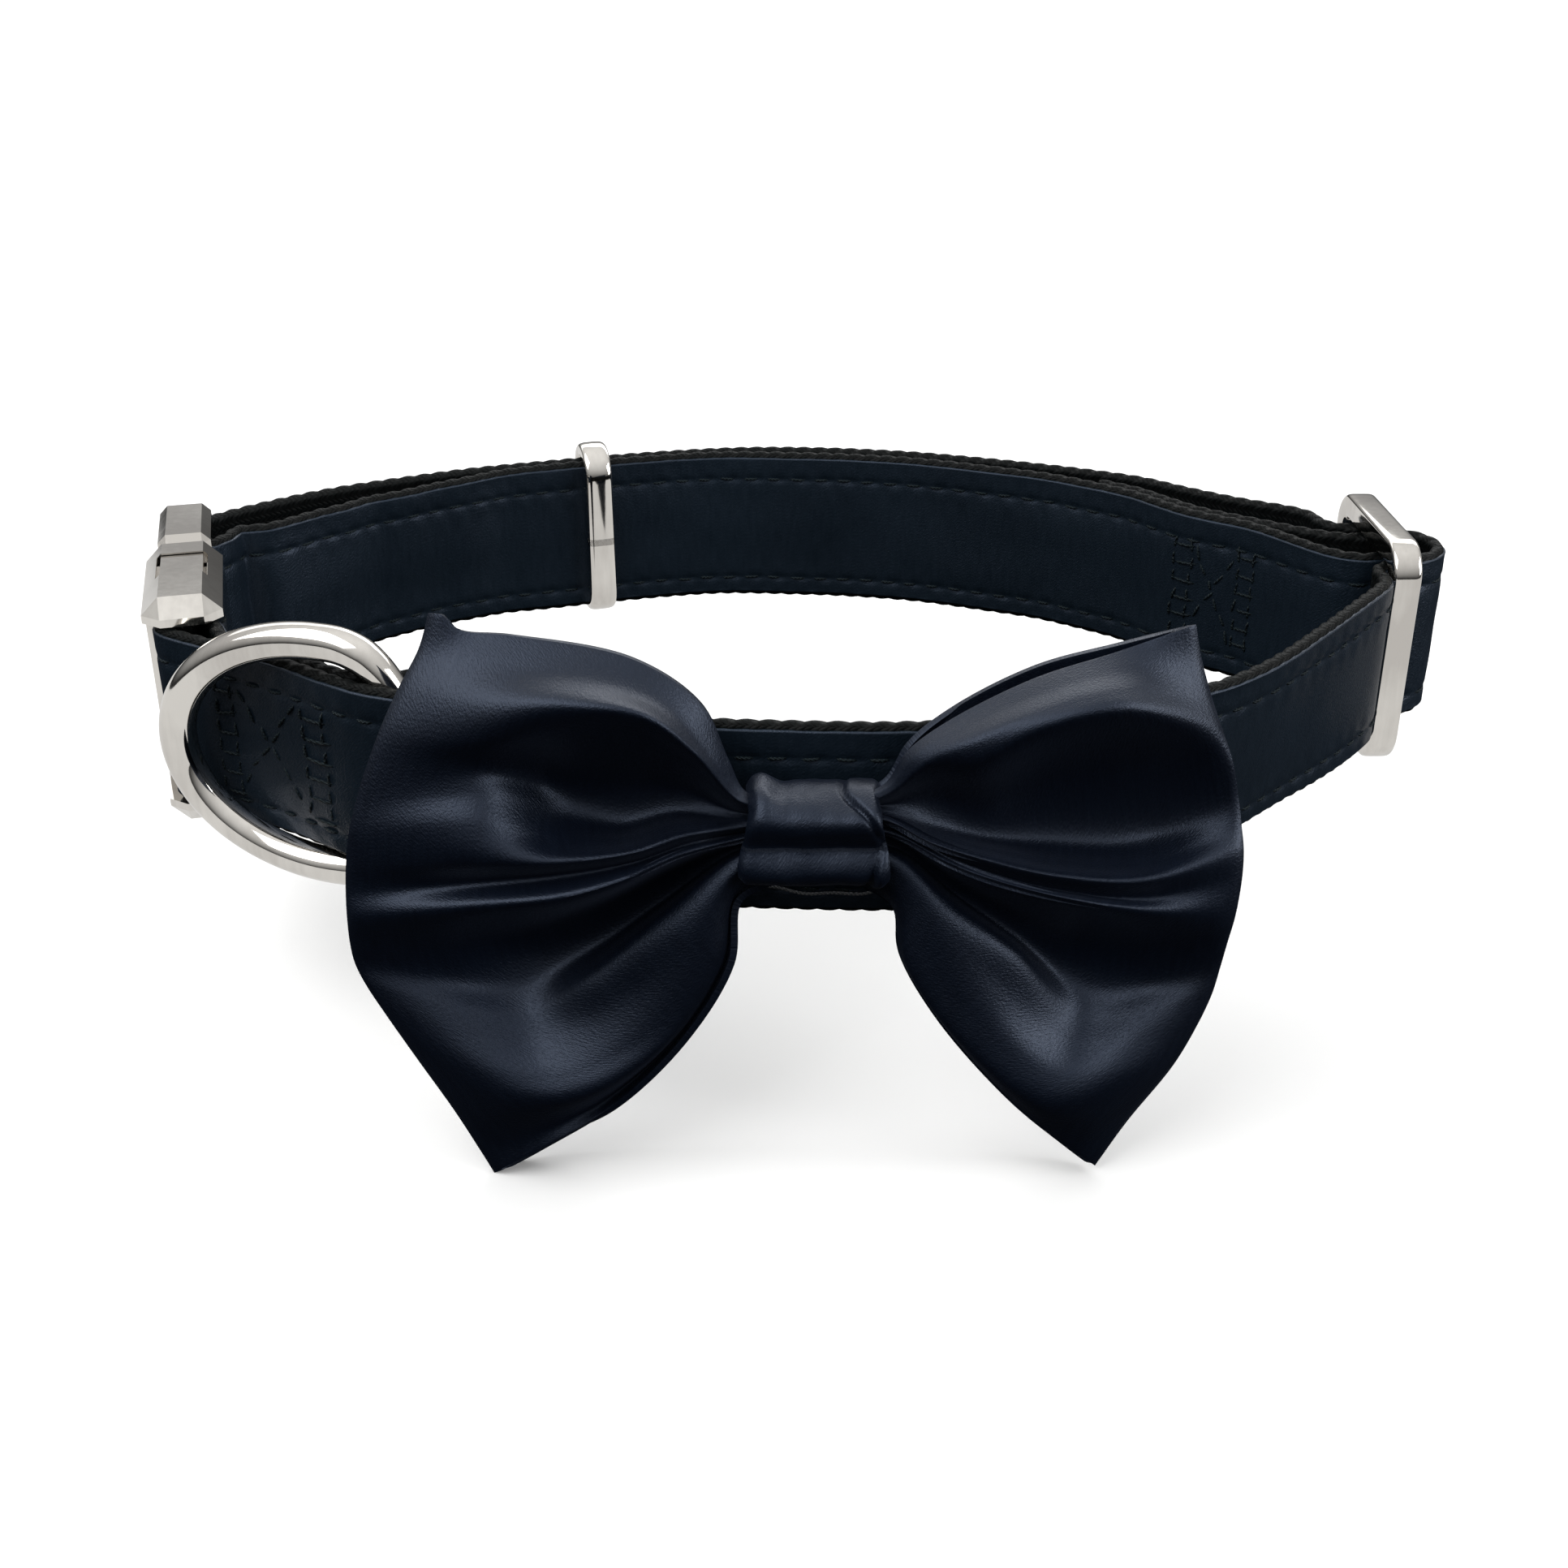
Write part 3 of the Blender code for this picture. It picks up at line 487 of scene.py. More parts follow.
def satinOut(s, h):
    # how far the satin's face stands off the webbing's middle
    out = np.full(np.broadcast(s, h).shape, facing["out"])
    for line in (facing["topStitch"], facing["lowStitch"]):
        step = np.cos(2 * np.pi * s / facing["pitch"])
        out = out - facing["groove"] * bell(h - line, 0.55 * mm) * (0.70 + 0.30 * step)
        out = out + 0.06 * mm * step * bell(np.abs(h - line) - 1.5 * mm, 1.0 * mm)
    return out


def makeFacing():
    s = np.arange(facing["start"], strapLength - facing["start"], facing["step"])
    top, low = facing["topStitch"], facing["lowStitch"]
    levels = [11.75, 11.4, 10.8, 9.9]
    levels += [top / mm + d for d in (0.9, 0.6, 0.3, 0, -0.3, -0.6, -1.0)]
    levels += [6.2, 4.8, 3.2, 1.6, 0, -1.6, -3.2, -4.8, -6.4, -7.6]
    levels += [low / mm + d for d in (1.0, 0.6, 0.3, 0, -0.3, -0.6, -0.9)] + [-10.8, -11.4, -11.75]
    levels = np.array(levels) * mm
    grid, height = np.meshgrid(s, levels, indexing="ij")
    out = satinOut(grid, height)
    calm = 1 - bell(height - top, 1.6 * mm) - bell(height - low, 1.6 * mm)
    calm = np.clip(calm, 0, 1) * np.clip((facing["edge"] - np.abs(height)) / (1.5 * mm), 0, 1)
    slack = waves(grid / (17 * mm), height / (9 * mm), grid * 0, 3)
    slack = slack + 0.4 * waves(grid / (6 * mm), height / (14 * mm), grid * 0, 5)
    out = out + facing["slack"] * slack * calm
    thick = (facing["out"] - facing["under"]) / 2
    middle = (facing["out"] + facing["under"]) / 2
    rows = [run.at(grid[:, j], height[:, j], out[:, j]) for j in range(len(levels))]
    marks = [np.stack([s, height[:, j], s * 0], 1) for j in range(len(levels))]
    wavy = facing["edgeWave"] * waves(s / (5 * mm), s * 0, s * 0 + 4.0, 8)
    for sign in (-1, 1):
        for turn in (60, 30, 0, -30, -60) if sign < 0 else (-60, -30, 0, 30, 60):
            angle = math.radians(turn)
            h = sign * (facing["edge"] - thick + thick * math.cos(angle)) + wavy
            rows.append(run.at(s, h, middle + thick * 1.15 * math.sin(angle)))
            marks.append(np.stack([s, s * 0 + sign * facing["edge"] + angle * 0.3 * mm, s * 0], 1))
        if sign < 0:
            for share in (-0.9, -0.3, 0.3, 0.9):
                rows.append(run.at(s, share * facing["edge"] + s * 0, facing["under"]))
                marks.append(np.stack([s, s * 0 + share * facing["edge"], s * 0], 1))
    faces = [tuple(f) for f in quads(len(s), len(rows), closeColumns=True).tolist()]
    faces += capEnds(len(s), len(rows))
    return buildMixed("satinFacing", np.stack(rows, 1), faces, stripSatin, np.stack(marks, 1))


stitch = {"radius": 0.20 * mm, "share": 0.58, "arch": 0.16 * mm, "sink": 0.14 * mm}
threads = []  # the points of each stitch
jitter = np.random.default_rng(11)


def sew(first, last, out, inward=False):
    # one stitch between two (distance, height) places, on the satin or on the webbing
    s = np.linspace(first[0], last[0], 5)
    h = np.linspace(first[1], last[1], 5)
    lift = stitch["arch"] * np.sin(np.linspace(0, np.pi, 5)) - stitch["sink"] * np.array(
        [1, 0, 0, 0, 1])
    b = -(out + lift) if inward else out + lift
    threads.append(run.at(s, h, b))


def seamRow(start, end, height, both=True):
    count = int((end - start) / facing["pitch"])
    for k in range(count):
        s0 = start + k * facing["pitch"] + jitter.normal(0, 0.05) * mm
        length = facing["pitch"] * stitch["share"] * (1 + jitter.normal(0, 0.05))
        h0 = height + jitter.normal(0, 0.06) * mm
        h1 = height + jitter.normal(0, 0.06) * mm
        sew((s0, h0), (s0 + length, h1), facing["out"] - facing["groove"] * 0.55)
        if both:
            sew((s0 + facing["pitch"] / 2, h1), (s0 + facing["pitch"] / 2 + length, h0),
                strap["halfThick"] + 0.02 * mm, inward=True)


def makeThreads(name, material):
    sides = 6
    points = []
    cloth = []
    faces = []
    for line in threads:
        along = np.gradient(line, axis=0)
        along /= np.linalg.norm(along, axis=1)[:, None]
        cross = np.cross(along, (0, 0, 1))
        weak = np.linalg.norm(cross, axis=1) < 0.2
        cross[weak] = np.cross(along[weak], (1, 0, 0))
        cross /= np.linalg.norm(cross, axis=1)[:, None]
        other = np.cross(along, cross)
        start = len(points)
        for k, spot in enumerate(line):
            radius = stitch["radius"] * (0.55 if k in (0, len(line) - 1) else 1.0)
            for j in range(sides):
                turn = 2 * math.pi * j / sides
                points.append(spot + radius * (math.cos(turn) * cross[k]
                                               + math.sin(turn) * other[k]))
                cloth.append((k * 0.0006 + start * 0.0001, j / sides, 0.0))
        faces += [tuple(f) for f in quads(len(line), sides, closeColumns=True,
                                          start=start).tolist()]
        faces.append(tuple(range(start + sides - 1, start - 1, -1)))
        faces.append(tuple(range(start + (len(line) - 1) * sides, start + len(line) * sides)))
    return buildMixed(name, np.array(points), faces, material, np.array(cloth))


web = makeWebbing()
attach(web, "collar")
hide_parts("webbing_strap")
strip = makeFacing()
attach(strip, "collar")
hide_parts("satin_facing")
for level in (facing["topStitch"], facing["lowStitch"]):
    seamRow(2.0 * mm, strapLength - 2.0 * mm, level)
# the boxes with a cross: pairs of upright rows joined by short ticks, and two diagonals
boxes = [
    {"uprights": (72.4, 75.2, 88.0, 92.0), "top": 7.6, "low": -8.6,
     "cross": ((76.0, 7.2, 87.0, -6.8), (75.8, -6.6, 87.2, 8.0))},
    {"uprights": (676.4, 679.2, 687.2, 690.0), "top": 8.6, "low": -8.2,
     "cross": ((679.8, 7.8, 686.8, -8.0), (686.2, 6.8, 680.0, -4.4))},
]


def dashes(s0, h0, s1, h1, step, share):
    count = max(1, round(math.hypot(s1 - s0, h1 - h0) / step))
    for k in range(count):
        a, b = k / count, (k + share) / count
        shake = jitter.normal(0, 0.20, 4)
        sew(((s0 + (s1 - s0) * a + shake[0]) * mm, (h0 + (h1 - h0) * a + shake[1]) * mm),
            ((s0 + (s1 - s0) * b + shake[2]) * mm, (h0 + (h1 - h0) * b + shake[3]) * mm),
            facing["out"])


for box in boxes:
    for s0 in box["uprights"]:
        dashes(s0, box["top"], s0, box["low"], 2.9, 0.78)
    for s0, h0, s1, h1 in box["cross"]:
        dashes(s0, h0, s1, h1, 2.9, 0.78)
    for pair in (box["uprights"][:2], box["uprights"][2:]):
        for h in np.arange(box["top"] - 1.4, box["low"], -2.9):
            dashes(pair[0] - 0.3, h, pair[1] + 0.9, h + 0.2, 9.0, 1.0)
# one loose thread under the knot
slackThread = np.array([(146.2, -9.5), (147.6, -8.9), (151, -8.9), (154.5, -9.7), (158, -9.5),
                        (161.5, -9.6), (163.4, -9.1), (165.6, -9.0)]) * mm
seams = makeThreads("seamThreads", threadDark)
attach(seams, "collar")
print("strap, facing and", len(threads), "stitches made")
threads.clear()
threads.append(run.at(*resample(slackThread, 36).T, facing["out"] + 0.5 * mm))
loose = makeThreads("looseThread", threadPale)
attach(loose, "collar")
print("loose thread made")


# bow: each wing is lofted through its fold lines.  A line is a list of
# (x, z, forward) in millimetres; x and z are as seen from the front and above,
# on a plane that tips forward downwards, and forward is measured from the knot's middle

bow = {
    "middle": (3.9 * mm, -63.7 * mm, 3.8 * mm),
    "eye": (198.05, 107.0),  # the viewpoint, ahead of the knot's middle and above
    "stations": 90,
    "between": 8,
    "relief": 0.22,  # share by which the folds stand out more than drawn
    "deepest": -4.8,  # the back layer's furthest back
    "apart": 2.3,  # between the two layers
    "puff": 5.0,
    "gathers": 0.22,
    "ripples": 0.12,
    "wrinkles": 0.02,
    "span": 50 * mm,
    "halfSpread": 34 * mm,
    "foldRadius": 0.9,
    "cloth": 0.85 * mm,
    "hemRound": 0.34 * mm,
}
leftFolds = [
    # upper edge, with a small ear at the tip
    [(0.5, 6.2, -0.2), (-4.4, 7.4, 0.0), (-6.4, 11.3, 0.2), (-9.4, 17.9, 0.0), (-17.0, 23.2, -0.6),
     (-30.7, 26.0, -1.6), (-36.6, 26.7, -2.2), (-38.4, 28.4, -2.6), (-39.9, 28.6, -3.2)],
    [(0.5, 5.9, 0.8), (-4.6, 6.8, 1.0), (-8.4, 11.6, 2.4), (-13.0, 17.0, 2.8), (-20.0, 20.6, 2.2),
     (-31.5, 22.7, 1.0), (-41.2, 24.6, -1.4)],
    [(0.5, 5.6, 1.6), (-4.8, 6.1, 2.0), (-10.4, 12.2, 5.0), (-16.0, 16.4, 6.6), (-25.0, 17.8, 6.4),
     (-34.0, 18.2, 4.6), (-43.9, 19.8, 0.6)],
    [(0.5, 5.2, 1.8), (-5.0, 5.5, 1.2), (-11.4, 11.2, 3.2), (-17.0, 14.0, 4.6), (-26.5, 14.6, 5.2),
     (-35.4, 13.6, 5.4), (-46.2, 15.2, 2.2)],
    # hollow under the upper panel
    [(0.5, 4.9, 0.4), (-5.2, 4.8, -0.4), (-12.2, 7.6, -2.2), (-18.6, 7.8, -3.0),
     (-26.0, 8.6, -2.0), (-36.0, 10.6, 4.0), (-48.3, 10.2, 3.1)],
    [(0.5, 5.2, 0.8), (-5.2, 4.2, 0.2), (-12.6, 5.2, -1.8), (-18.8, 3.8, -2.0), (-25.6, 4.9, -1.0),
     (-34.8, 7.4, 4.2), (-49.8, 6.0, 3.6)],
    # first ridge
    [(0.5, 4.6, 1.6), (-5.0, 3.7, 1.4), (-12.7, 3.2, 1.8), (-18.8, 1.4, 2.2), (-26.0, 1.4, 3.2),
     (-36.0, 3.2, 6.4), (-50.9, 2.2, 3.9)],
    [(0.5, 4.0, 1.8), (-5.2, 2.9, 2.0), (-11.4, 1.9, 4.0), (-17.6, -0.2, 5.6), (-25.8, -1.4, 6.6),
     (-36.0, -1.6, 7.0), (-51.5, -1.6, 3.7)],
    [(0.5, 3.4, 1.4), (-5.3, 2.2, 1.2), (-11.4, 0.9, 3.0), (-17.8, -1.4, 4.0), (-25.8, -2.9, 4.4),
     (-37.0, -4.0, 4.6), (-51.8, -5.2, 3.6)],
    # second ridge
    [(0.5, 2.8, 1.8), (-5.4, 1.4, 2.0), (-12.4, -0.6, 4.4), (-19.0, -3.7, 6.4), (-26.6, -6.0, 7.2),
     (-37.5, -7.2, 6.8), (-51.9, -8.6, 4.0)],
    # deep valley
    [(0.5, 2.0, 0.6), (-5.4, 0.7, 0.0), (-13.4, -2.8, -0.8), (-22.2, -7.6, -1.2),
     (-31.7, -11.2, -0.6), (-41.2, -12.4, 2.2), (-51.8, -11.8, 3.2)],
    [(0.5, 1.2, 0.4), (-5.3, 0.2, -0.2), (-14.2, -6.0, -1.6), (-23.0, -12.2, -1.8),
     (-32.7, -16.4, -0.4), (-42.2, -16.0, 1.6), (-51.4, -14.4, 2.6)],
    # the top of the lower panel
    [(0.5, 0.6, 1.4), (-5.2, -0.6, 1.6), (-14.5, -8.5, 2.6), (-23.0, -16.2, 2.6),
     (-30.0, -20.8, 1.8), (-40.0, -20.2, 3.2), (-50.4, -17.0, 2.8)],
    [(0.5, -0.2, 1.8), (-5.3, -2.2, 2.4), (-11.6, -10.4, 4.0), (-19.5, -19.4, 4.2),
     (-29.5, -24.4, 3.8), (-38.5, -23.8, 4.8), (-48.4, -20.8, 3.2)],
    [(0.5, -1.2, 1.6), (-5.5, -3.6, 2.2), (-9.4, -12.6, 4.2), (-17.0, -23.4, 5.6),
     (-27.5, -29.4, 6.8), (-36.6, -29.2, 6.8), (-45.0, -26.8, 3.8)],
    [(0.5, -2.2, 1.2), (-5.6, -4.8, 1.6), (-7.9, -14.2, 3.4), (-14.6, -25.0, 5.8),
     (-24.4, -32.2, 7.8), (-33.4, -34.2, 7.2), (-40.6, -34.4, 4.4)],
    # a narrow hem along the lower edge
    [(0.5, -2.7, 0.4), (-5.6, -5.5, 0.4), (-7.1, -14.4, 1.8), (-12.9, -24.0, 3.2),
     (-22.3, -33.0, 4.6), (-31.0, -37.6, 5.2), (-37.6, -40.2, 4.6)],
    [(0.5, -3.0, 0.4), (-5.6, -5.9, 0.8), (-6.7, -14.2, 2.6), (-11.9, -23.6, 4.2),
     (-20.8, -33.3, 5.6), (-29.7, -39.2, 5.4), (-36.2, -43.0, 4.8)],
]
rightFolds = [
    # upper edge
    [(7.0, 6.4, 0.0), (11.6, 8.4, 0.6), (14.1, 12.3, 1.2), (18.5, 15.8, 0.8), (28.3, 21.0, -0.2),
     (37.5, 24.1, -1.4), (46.3, 27.3, -3.2)],
    [(7.0, 6.1, 0.8), (12.0, 7.9, 1.6), (15.4, 11.8, 2.8), (20.5, 15.0, 3.0), (29.0, 19.2, 2.4),
     (38.0, 22.0, 1.0), (47.2, 23.4, -2.0)],
    [(7.0, 5.8, 1.4), (12.2, 7.3, 2.0), (16.6, 11.0, 4.0), (22.0, 13.2, 5.6), (29.5, 17.0, 5.6),
     (38.5, 19.4, 4.2), (48.8, 18.6, -0.6)],
    [(7.0, 5.5, 1.2), (12.2, 6.7, 1.4), (16.8, 9.6, 2.8), (22.4, 10.8, 5.4), (29.6, 14.8, 6.6),
     (39.0, 17.0, 5.8), (50.3, 14.8, 0.6)],
    # hollow
    [(7.0, 5.2, 0.6), (12.2, 5.8, 0.0), (17.4, 6.4, -1.2), (24.0, 6.2, -1.0), (31.0, 8.6, -2.0),
     (40.0, 9.8, -1.4), (51.7, 11.2, 1.2)],
    [(7.0, 5.8, 0.6), (12.0, 5.0, 0.6), (17.6, 3.6, -1.0), (24.0, 2.0, -1.8), (31.0, 1.6, -2.4),
     (40.5, 1.8, -1.8), (52.8, 6.4, 1.2)],
    # first ridge
    [(7.0, 5.0, 1.4), (11.9, 4.4, 1.6), (17.2, 2.0, 1.6), (24.0, 0.2, 2.0), (32.0, -1.4, 2.4),
     (42.4, -1.4, 2.6), (53.4, 3.2, 2.0)],
    [(7.0, 4.4, 1.6), (12.2, 3.7, 2.2), (17.4, 1.0, 3.8), (24.0, -1.2, 5.0), (32.4, -3.2, 6.0),
     (42.6, -3.7, 6.2), (53.9, 0.2, 3.4)],
    [(7.0, 3.8, 1.2), (12.6, 3.0, 1.2), (17.9, 0.1, 2.8), (24.0, -2.6, 4.0), (32.6, -4.9, 4.6),
     (42.8, -5.9, 5.0), (54.0, -3.4, 3.8)],
    # second ridge
    [(7.0, 3.2, 1.6), (13.0, 2.0, 2.0), (19.6, -1.6, 4.2), (26.0, -4.0, 5.8), (34.5, -6.2, 6.8),
     (44.5, -7.8, 6.2), (53.6, -8.2, 4.0)],
    # deep valley
    [(7.0, 2.4, 0.4), (13.1, 1.2, 0.0), (20.2, -3.8, -0.8), (26.8, -7.8, -1.0),
     (34.0, -11.6, -0.8), (44.0, -12.4, 1.6), (52.9, -11.8, 3.4)],
    [(7.0, 1.6, 0.2), (13.2, 0.5, -0.2), (20.4, -5.4, -1.4), (27.4, -10.6, -1.8),
     (35.4, -16.6, -0.8), (45.0, -16.8, 1.2), (52.3, -15.0, 3.0)],
    # the top of the lower panel
    [(7.0, 0.8, 1.2), (13.3, -0.7, 1.6), (20.0, -7.1, 2.6), (27.4, -12.8, 2.4), (35.6, -21.2, 1.6),
     (43.8, -20.6, 3.0), (51.6, -18.4, 3.2)],
    [(7.0, 0.0, 1.6), (13.2, -2.4, 2.4), (18.4, -9.8, 4.0), (25.6, -17.2, 4.2), (35.0, -24.6, 3.8),
     (42.6, -24.2, 4.8), (50.2, -22.4, 3.6)],
    [(7.0, -1.0, 1.6), (13.0, -4.2, 2.2), (16.6, -12.6, 4.2), (23.4, -21.4, 5.6),
     (33.6, -29.4, 6.8), (41.4, -29.4, 6.8), (47.6, -28.0, 4.0)],
    [(7.0, -2.0, 1.2), (12.8, -6.0, 1.6), (14.8, -14.8, 3.6), (21.4, -24.6, 5.8),
     (31.8, -33.8, 7.6), (38.6, -35.4, 6.6), (42.4, -35.8, 4.4)],
    # lower edge
    [(7.0, -3.0, 0.4), (12.7, -6.9, 0.6), (13.6, -12.6, 2.0), (18.6, -21.6, 4.0),
     (27.8, -32.6, 5.6), (34.6, -38.6, 5.4), (38.8, -42.0, 4.8)],
]


def planeForward(z):
    # forward of the tipping plane at height z, in millimetres
    return -1.95 + (27.0 - z) / 70.0 * 8.0


def across(rows, between):
    # smooth columns through the fold lines, the same number of points in each gap
    rows = np.asarray(rows, float)
    padded = np.concatenate([2 * rows[:1] - rows[1:2], rows, 2 * rows[-1:] - rows[-2:-1]])
    out = []
    for a, b, c, d in zip(padded, padded[1:], padded[2:], padded[3:]):
        k1 = np.linalg.norm(b - a, axis=1, keepdims=True) ** 0.5 + 1e-6
        k2 = np.linalg.norm(c - b, axis=1, keepdims=True) ** 0.5 + 1e-6
        k3 = np.linalg.norm(d - c, axis=1, keepdims=True) ** 0.5 + 1e-6
        m1 = ((b - a) / k1 - (c - a) / (k1 + k2) + (c - b) / k2) * k2
        m2 = ((c - b) / k2 - (d - b) / (k2 + k3) + (d - c) / k3) * k2
        for i in range(between):
            t = i / between
            out.append(b * (2 * t**3 - 3 * t**2 + 1) + c * (3 * t**2 - 2 * t**3)
                       + m1 * (t**3 - 2 * t**2 + t) + m2 * (t**3 - t**2))
    out.append(rows[-1])
    return np.array(out)


def makeWing(name, folds, seed, backRise):
    count = bow["stations"]
    rows = np.array([resample(line, count) for line in folds])
    calm = rows[..., 2].copy()
    for _ in range(8):
        calm[1:-1] = calm[1:-1] * 0.5 + (calm[:-2] + calm[2:]) * 0.25
    rows[..., 2] += (bow["relief"] * (rows[..., 2] - calm)
                     * np.sin(np.pi * np.linspace(0, 1, count)) ** 0.6)
    rows[..., 2] = np.where(rows[..., 2] < -2, rows[..., 2] * 0.5 - 1, rows[..., 2])
    front = across(rows, bow["between"])  # (v, s, 3)
    high = front.shape[0]
    s = np.linspace(0, 1, count)[None, :]
    v = np.linspace(1, -1, high)[:, None]
    rim = bow["foldRadius"] * np.sqrt(1 - s**24)
    # small gathers that run out of the knot, and loose ripples
    gathers = bow["gathers"] * np.sin(26 * v + 3 * np.sin(5 * s + seed))
    gathers = gathers * np.exp(-s / 0.20) * s * 6
    ripples = bow["ripples"] * waves(s * 5.0 + 0 * v, v * 6.0 + 0 * s, 0 * s * v + seed, seed)
    ripples = ripples + bow["wrinkles"] * waves(s * 13.0 + 0 * v, v * 13.0 + 0 * s, 0 * s * v, seed + 2)
    front[..., 2] += rim + (gathers + ripples) * (1 - s**8)
    # back layer: calmer, between the same edges, standing off behind
    top, low = front[:1, :, :2], front[-1:, :, :2]
    share = np.concatenate([[0], np.cumsum(np.linalg.norm(
        np.diff(front[:, -1, :2], axis=0), axis=1))])
    share = (share / share[-1])[:, None, None]
    lift = backRise * np.sin(np.pi * np.clip(s, 0, 1)) ** 0.8
    back = np.zeros_like(front)
    back[..., :2] = top * (1 - share) + low * share
    outward = front[:, -1:, :2] - (top * (1 - share) + low * share)[:, -1:, :]
    back[..., :2] += outward * (s[..., None] ** 2.4)
    back[..., 1] += (lift * (1 - share[..., 0]) ** 3)
    edgeForward = (front[:1, :, 2] * (1 - share[..., 0]) + front[-1:, :, 2] * share[..., 0])
    depthAtFold = front[:, -1:, 2]
    puff = bow["puff"] * np.sin(np.pi * np.clip(s, 0, 1) ** 0.95) ** 0.55
    puff = puff * (1 - 0.35 * np.abs(v) ** 2)
    pleat = 0.5 * np.sin(9.0 * v + 0.8 * seed) * np.sin(np.pi * s) * np.exp(-1.2 * s)
    level = 0.35 * edgeForward * (1 - s**2) + depthAtFold * s**2
    back[..., 2] = level - puff - rim - 1.2 * (1 - s) + pleat
    back[..., 2] = np.minimum(back[..., 2], front[..., 2] - bow["apart"] * (1 - s**10))
    back[..., 2] = np.maximum(back[..., 2], bow["deepest"])
    grid = np.concatenate([front, back[:, -2::-1]], axis=1)
    # from the seen plane along the line of sight to the wanted depth
    eye = bow["eye"]
    nearer = (eye[0] - grid[..., 2]) / (eye[0] - planeForward(grid[..., 1]))
    x = grid[..., 0] * nearer
    z = eye[1] + (grid[..., 1] - eye[1]) * nearer
    y = bow["middle"][1] / mm - grid[..., 2]
    points = np.stack([x, y, z], -1) * mm
    length = np.concatenate([s[0] * bow["span"], (2 - s[0, -2::-1]) * bow["span"]])
    cloth = np.stack([np.broadcast_to(length, points.shape[:2]),
                      np.broadcast_to(v * bow["halfSpread"], points.shape[:2]),
                      np.zeros(points.shape[:2])], -1)
    faces = quads(points.shape[0], points.shape[1])
    if points[0, 5, 0] > points[0, 0, 0]:
        faces = faces[:, ::-1]
    item = build(name, points, faces, bowSatin, cloth)
    thick = item.modifiers.new("cloth", "SOLIDIFY")
    thick.thickness = bow["cloth"]
    thick.offset = -1
    soft = item.modifiers.new("hem", "BEVEL")
    soft.width = bow["hemRound"]
    soft.segments = 3
    soft.limit_method = "ANGLE"
    soft.angle_limit = math.radians(55)
    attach(item, "collar")
    return item


knot = {
    "middle": (3.45, -63.7, 2.1),
    "halfHeight": 5.9,
    "halfDepth": 5.5,
    "round": 0.80,
    "halfWide": 7.45,
    "flare": 1.5,
    # height, place and width of the roll, the recess and the swell, from the top down
    "roll": (0.75, 3.4, 1.7),
    "recess": (1.25, -0.1, 2.2),
    "swell": (0.60, -3.4, 2.2),
    "cloth": 0.9 * mm,
    "hemRound": 0.36 * mm,
    "creaseUp": (-4.0, -2.0, 3.2, 5.7, 7.1, 8.2),
    "creaseAcross": (6.4, 7.0, 8.3, 6.6, 4.9, 3.4),
}


def makeKnot():
    turns, columns = 110, 64
    theta = np.linspace(0, 2 * np.pi, turns, endpoint=False)[:, None]
    x = np.linspace(-1, 1, columns)[None, :]
    forward = np.sign(np.cos(theta)) * np.abs(np.cos(theta)) ** knot["round"]
    up = np.sign(np.sin(theta)) * np.abs(np.sin(theta)) ** knot["round"]
    z = up * knot["halfHeight"] + 0 * x
    f = forward * knot["halfDepth"] + 0 * x
    front = np.clip(np.cos(theta), 0, 1) ** 0.5
    top = np.clip(np.sin(theta), 0, 1)
    flare = knot["flare"] * np.clip((5.0 - z) / 8.0, 0, 1) * front
    wide = knot["halfWide"] + flare + 0.5 * (1 - front)
    xx = x * wide
    # a tight roll on top, a recess, a soft lower swell
    lift = hump(z, knot["roll"]) * front - hump(z, knot["recess"]) * front
    lift = lift + hump(z, knot["swell"]) * front * (1 - 0.4 * x ** 2)
    lift = lift + 0.80 * bell(xx + 5.9, 1.4) * top ** 2 - 0.25 * bell(xx + 3.4, 1.2) * top
    # the wrap's end crosses on the right
    crease = np.interp(z + knot["middle"][2], knot["creaseUp"], knot["creaseAcross"])
    past = xx - crease
    ply = np.clip(np.cos(theta) + 0.55, 0, 1) ** 0.5
    lift = lift + ply * (0.55 / (1 + np.exp(-past / 0.16)) - 0.50 * bell(past + 0.25, 0.40))
    lift = lift + 0.26 * waves(xx / 4.2, z / 3.4 + 0 * xx, f / 3.4, 21)
    lift = lift + 0.10 * waves(xx / 1.5, z / 3.2 + 0 * xx, f / 3.2, 23)
    rolled = np.clip((np.abs(x) - 0.86) / 0.14, 0, 1)
    lift = lift - 0.9 * rolled ** 2
    size = np.sqrt(z**2 + f**2)
    z = z + lift * z / size
    f = f + lift * f / size
    xx = xx + 0.3 * waves(z / 3, f / 3, x * 0 + z * 0, 31)
    middle = knot["middle"]
    points = np.stack([middle[0] + xx, middle[1] - f, middle[2] + z], -1) * mm
    cloth = np.stack([np.broadcast_to(theta * 6.0, z.shape), xx, z * 0], -1) * mm
    item = build("bowKnot", points, quads(turns, columns, closeRows=True), bowSatin, cloth)
    thick = item.modifiers.new("cloth", "SOLIDIFY")
    thick.thickness = knot["cloth"]
    thick.offset = 1 if signedVolume(item) < 0 else -1
    soft = item.modifiers.new("hem", "BEVEL")
    soft.width = knot["hemRound"]
    soft.segments = 3
    soft.limit_method = "ANGLE"
    soft.angle_limit = math.radians(55)
    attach(item, "collar")
    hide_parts("bow_knot")
    return item


def signedVolume(item):
    total = 0.0
    for face in item.data.polygons:
        total += face.center.dot(face.normal) * face.area
    middle = Vector(bow["middle"])
    for face in item.data.polygons:
        total -= middle.dot(face.normal) * face.area
    return total


left = makeWing("bowWingLeft", leftFolds, 1, 0.3)
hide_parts("bow_wing_left")
right = makeWing("bowWingRight", rightFolds, 4, 1.6)
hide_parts("bow_wing_right")
wrap = makeKnot()
print("bow made")


# metal

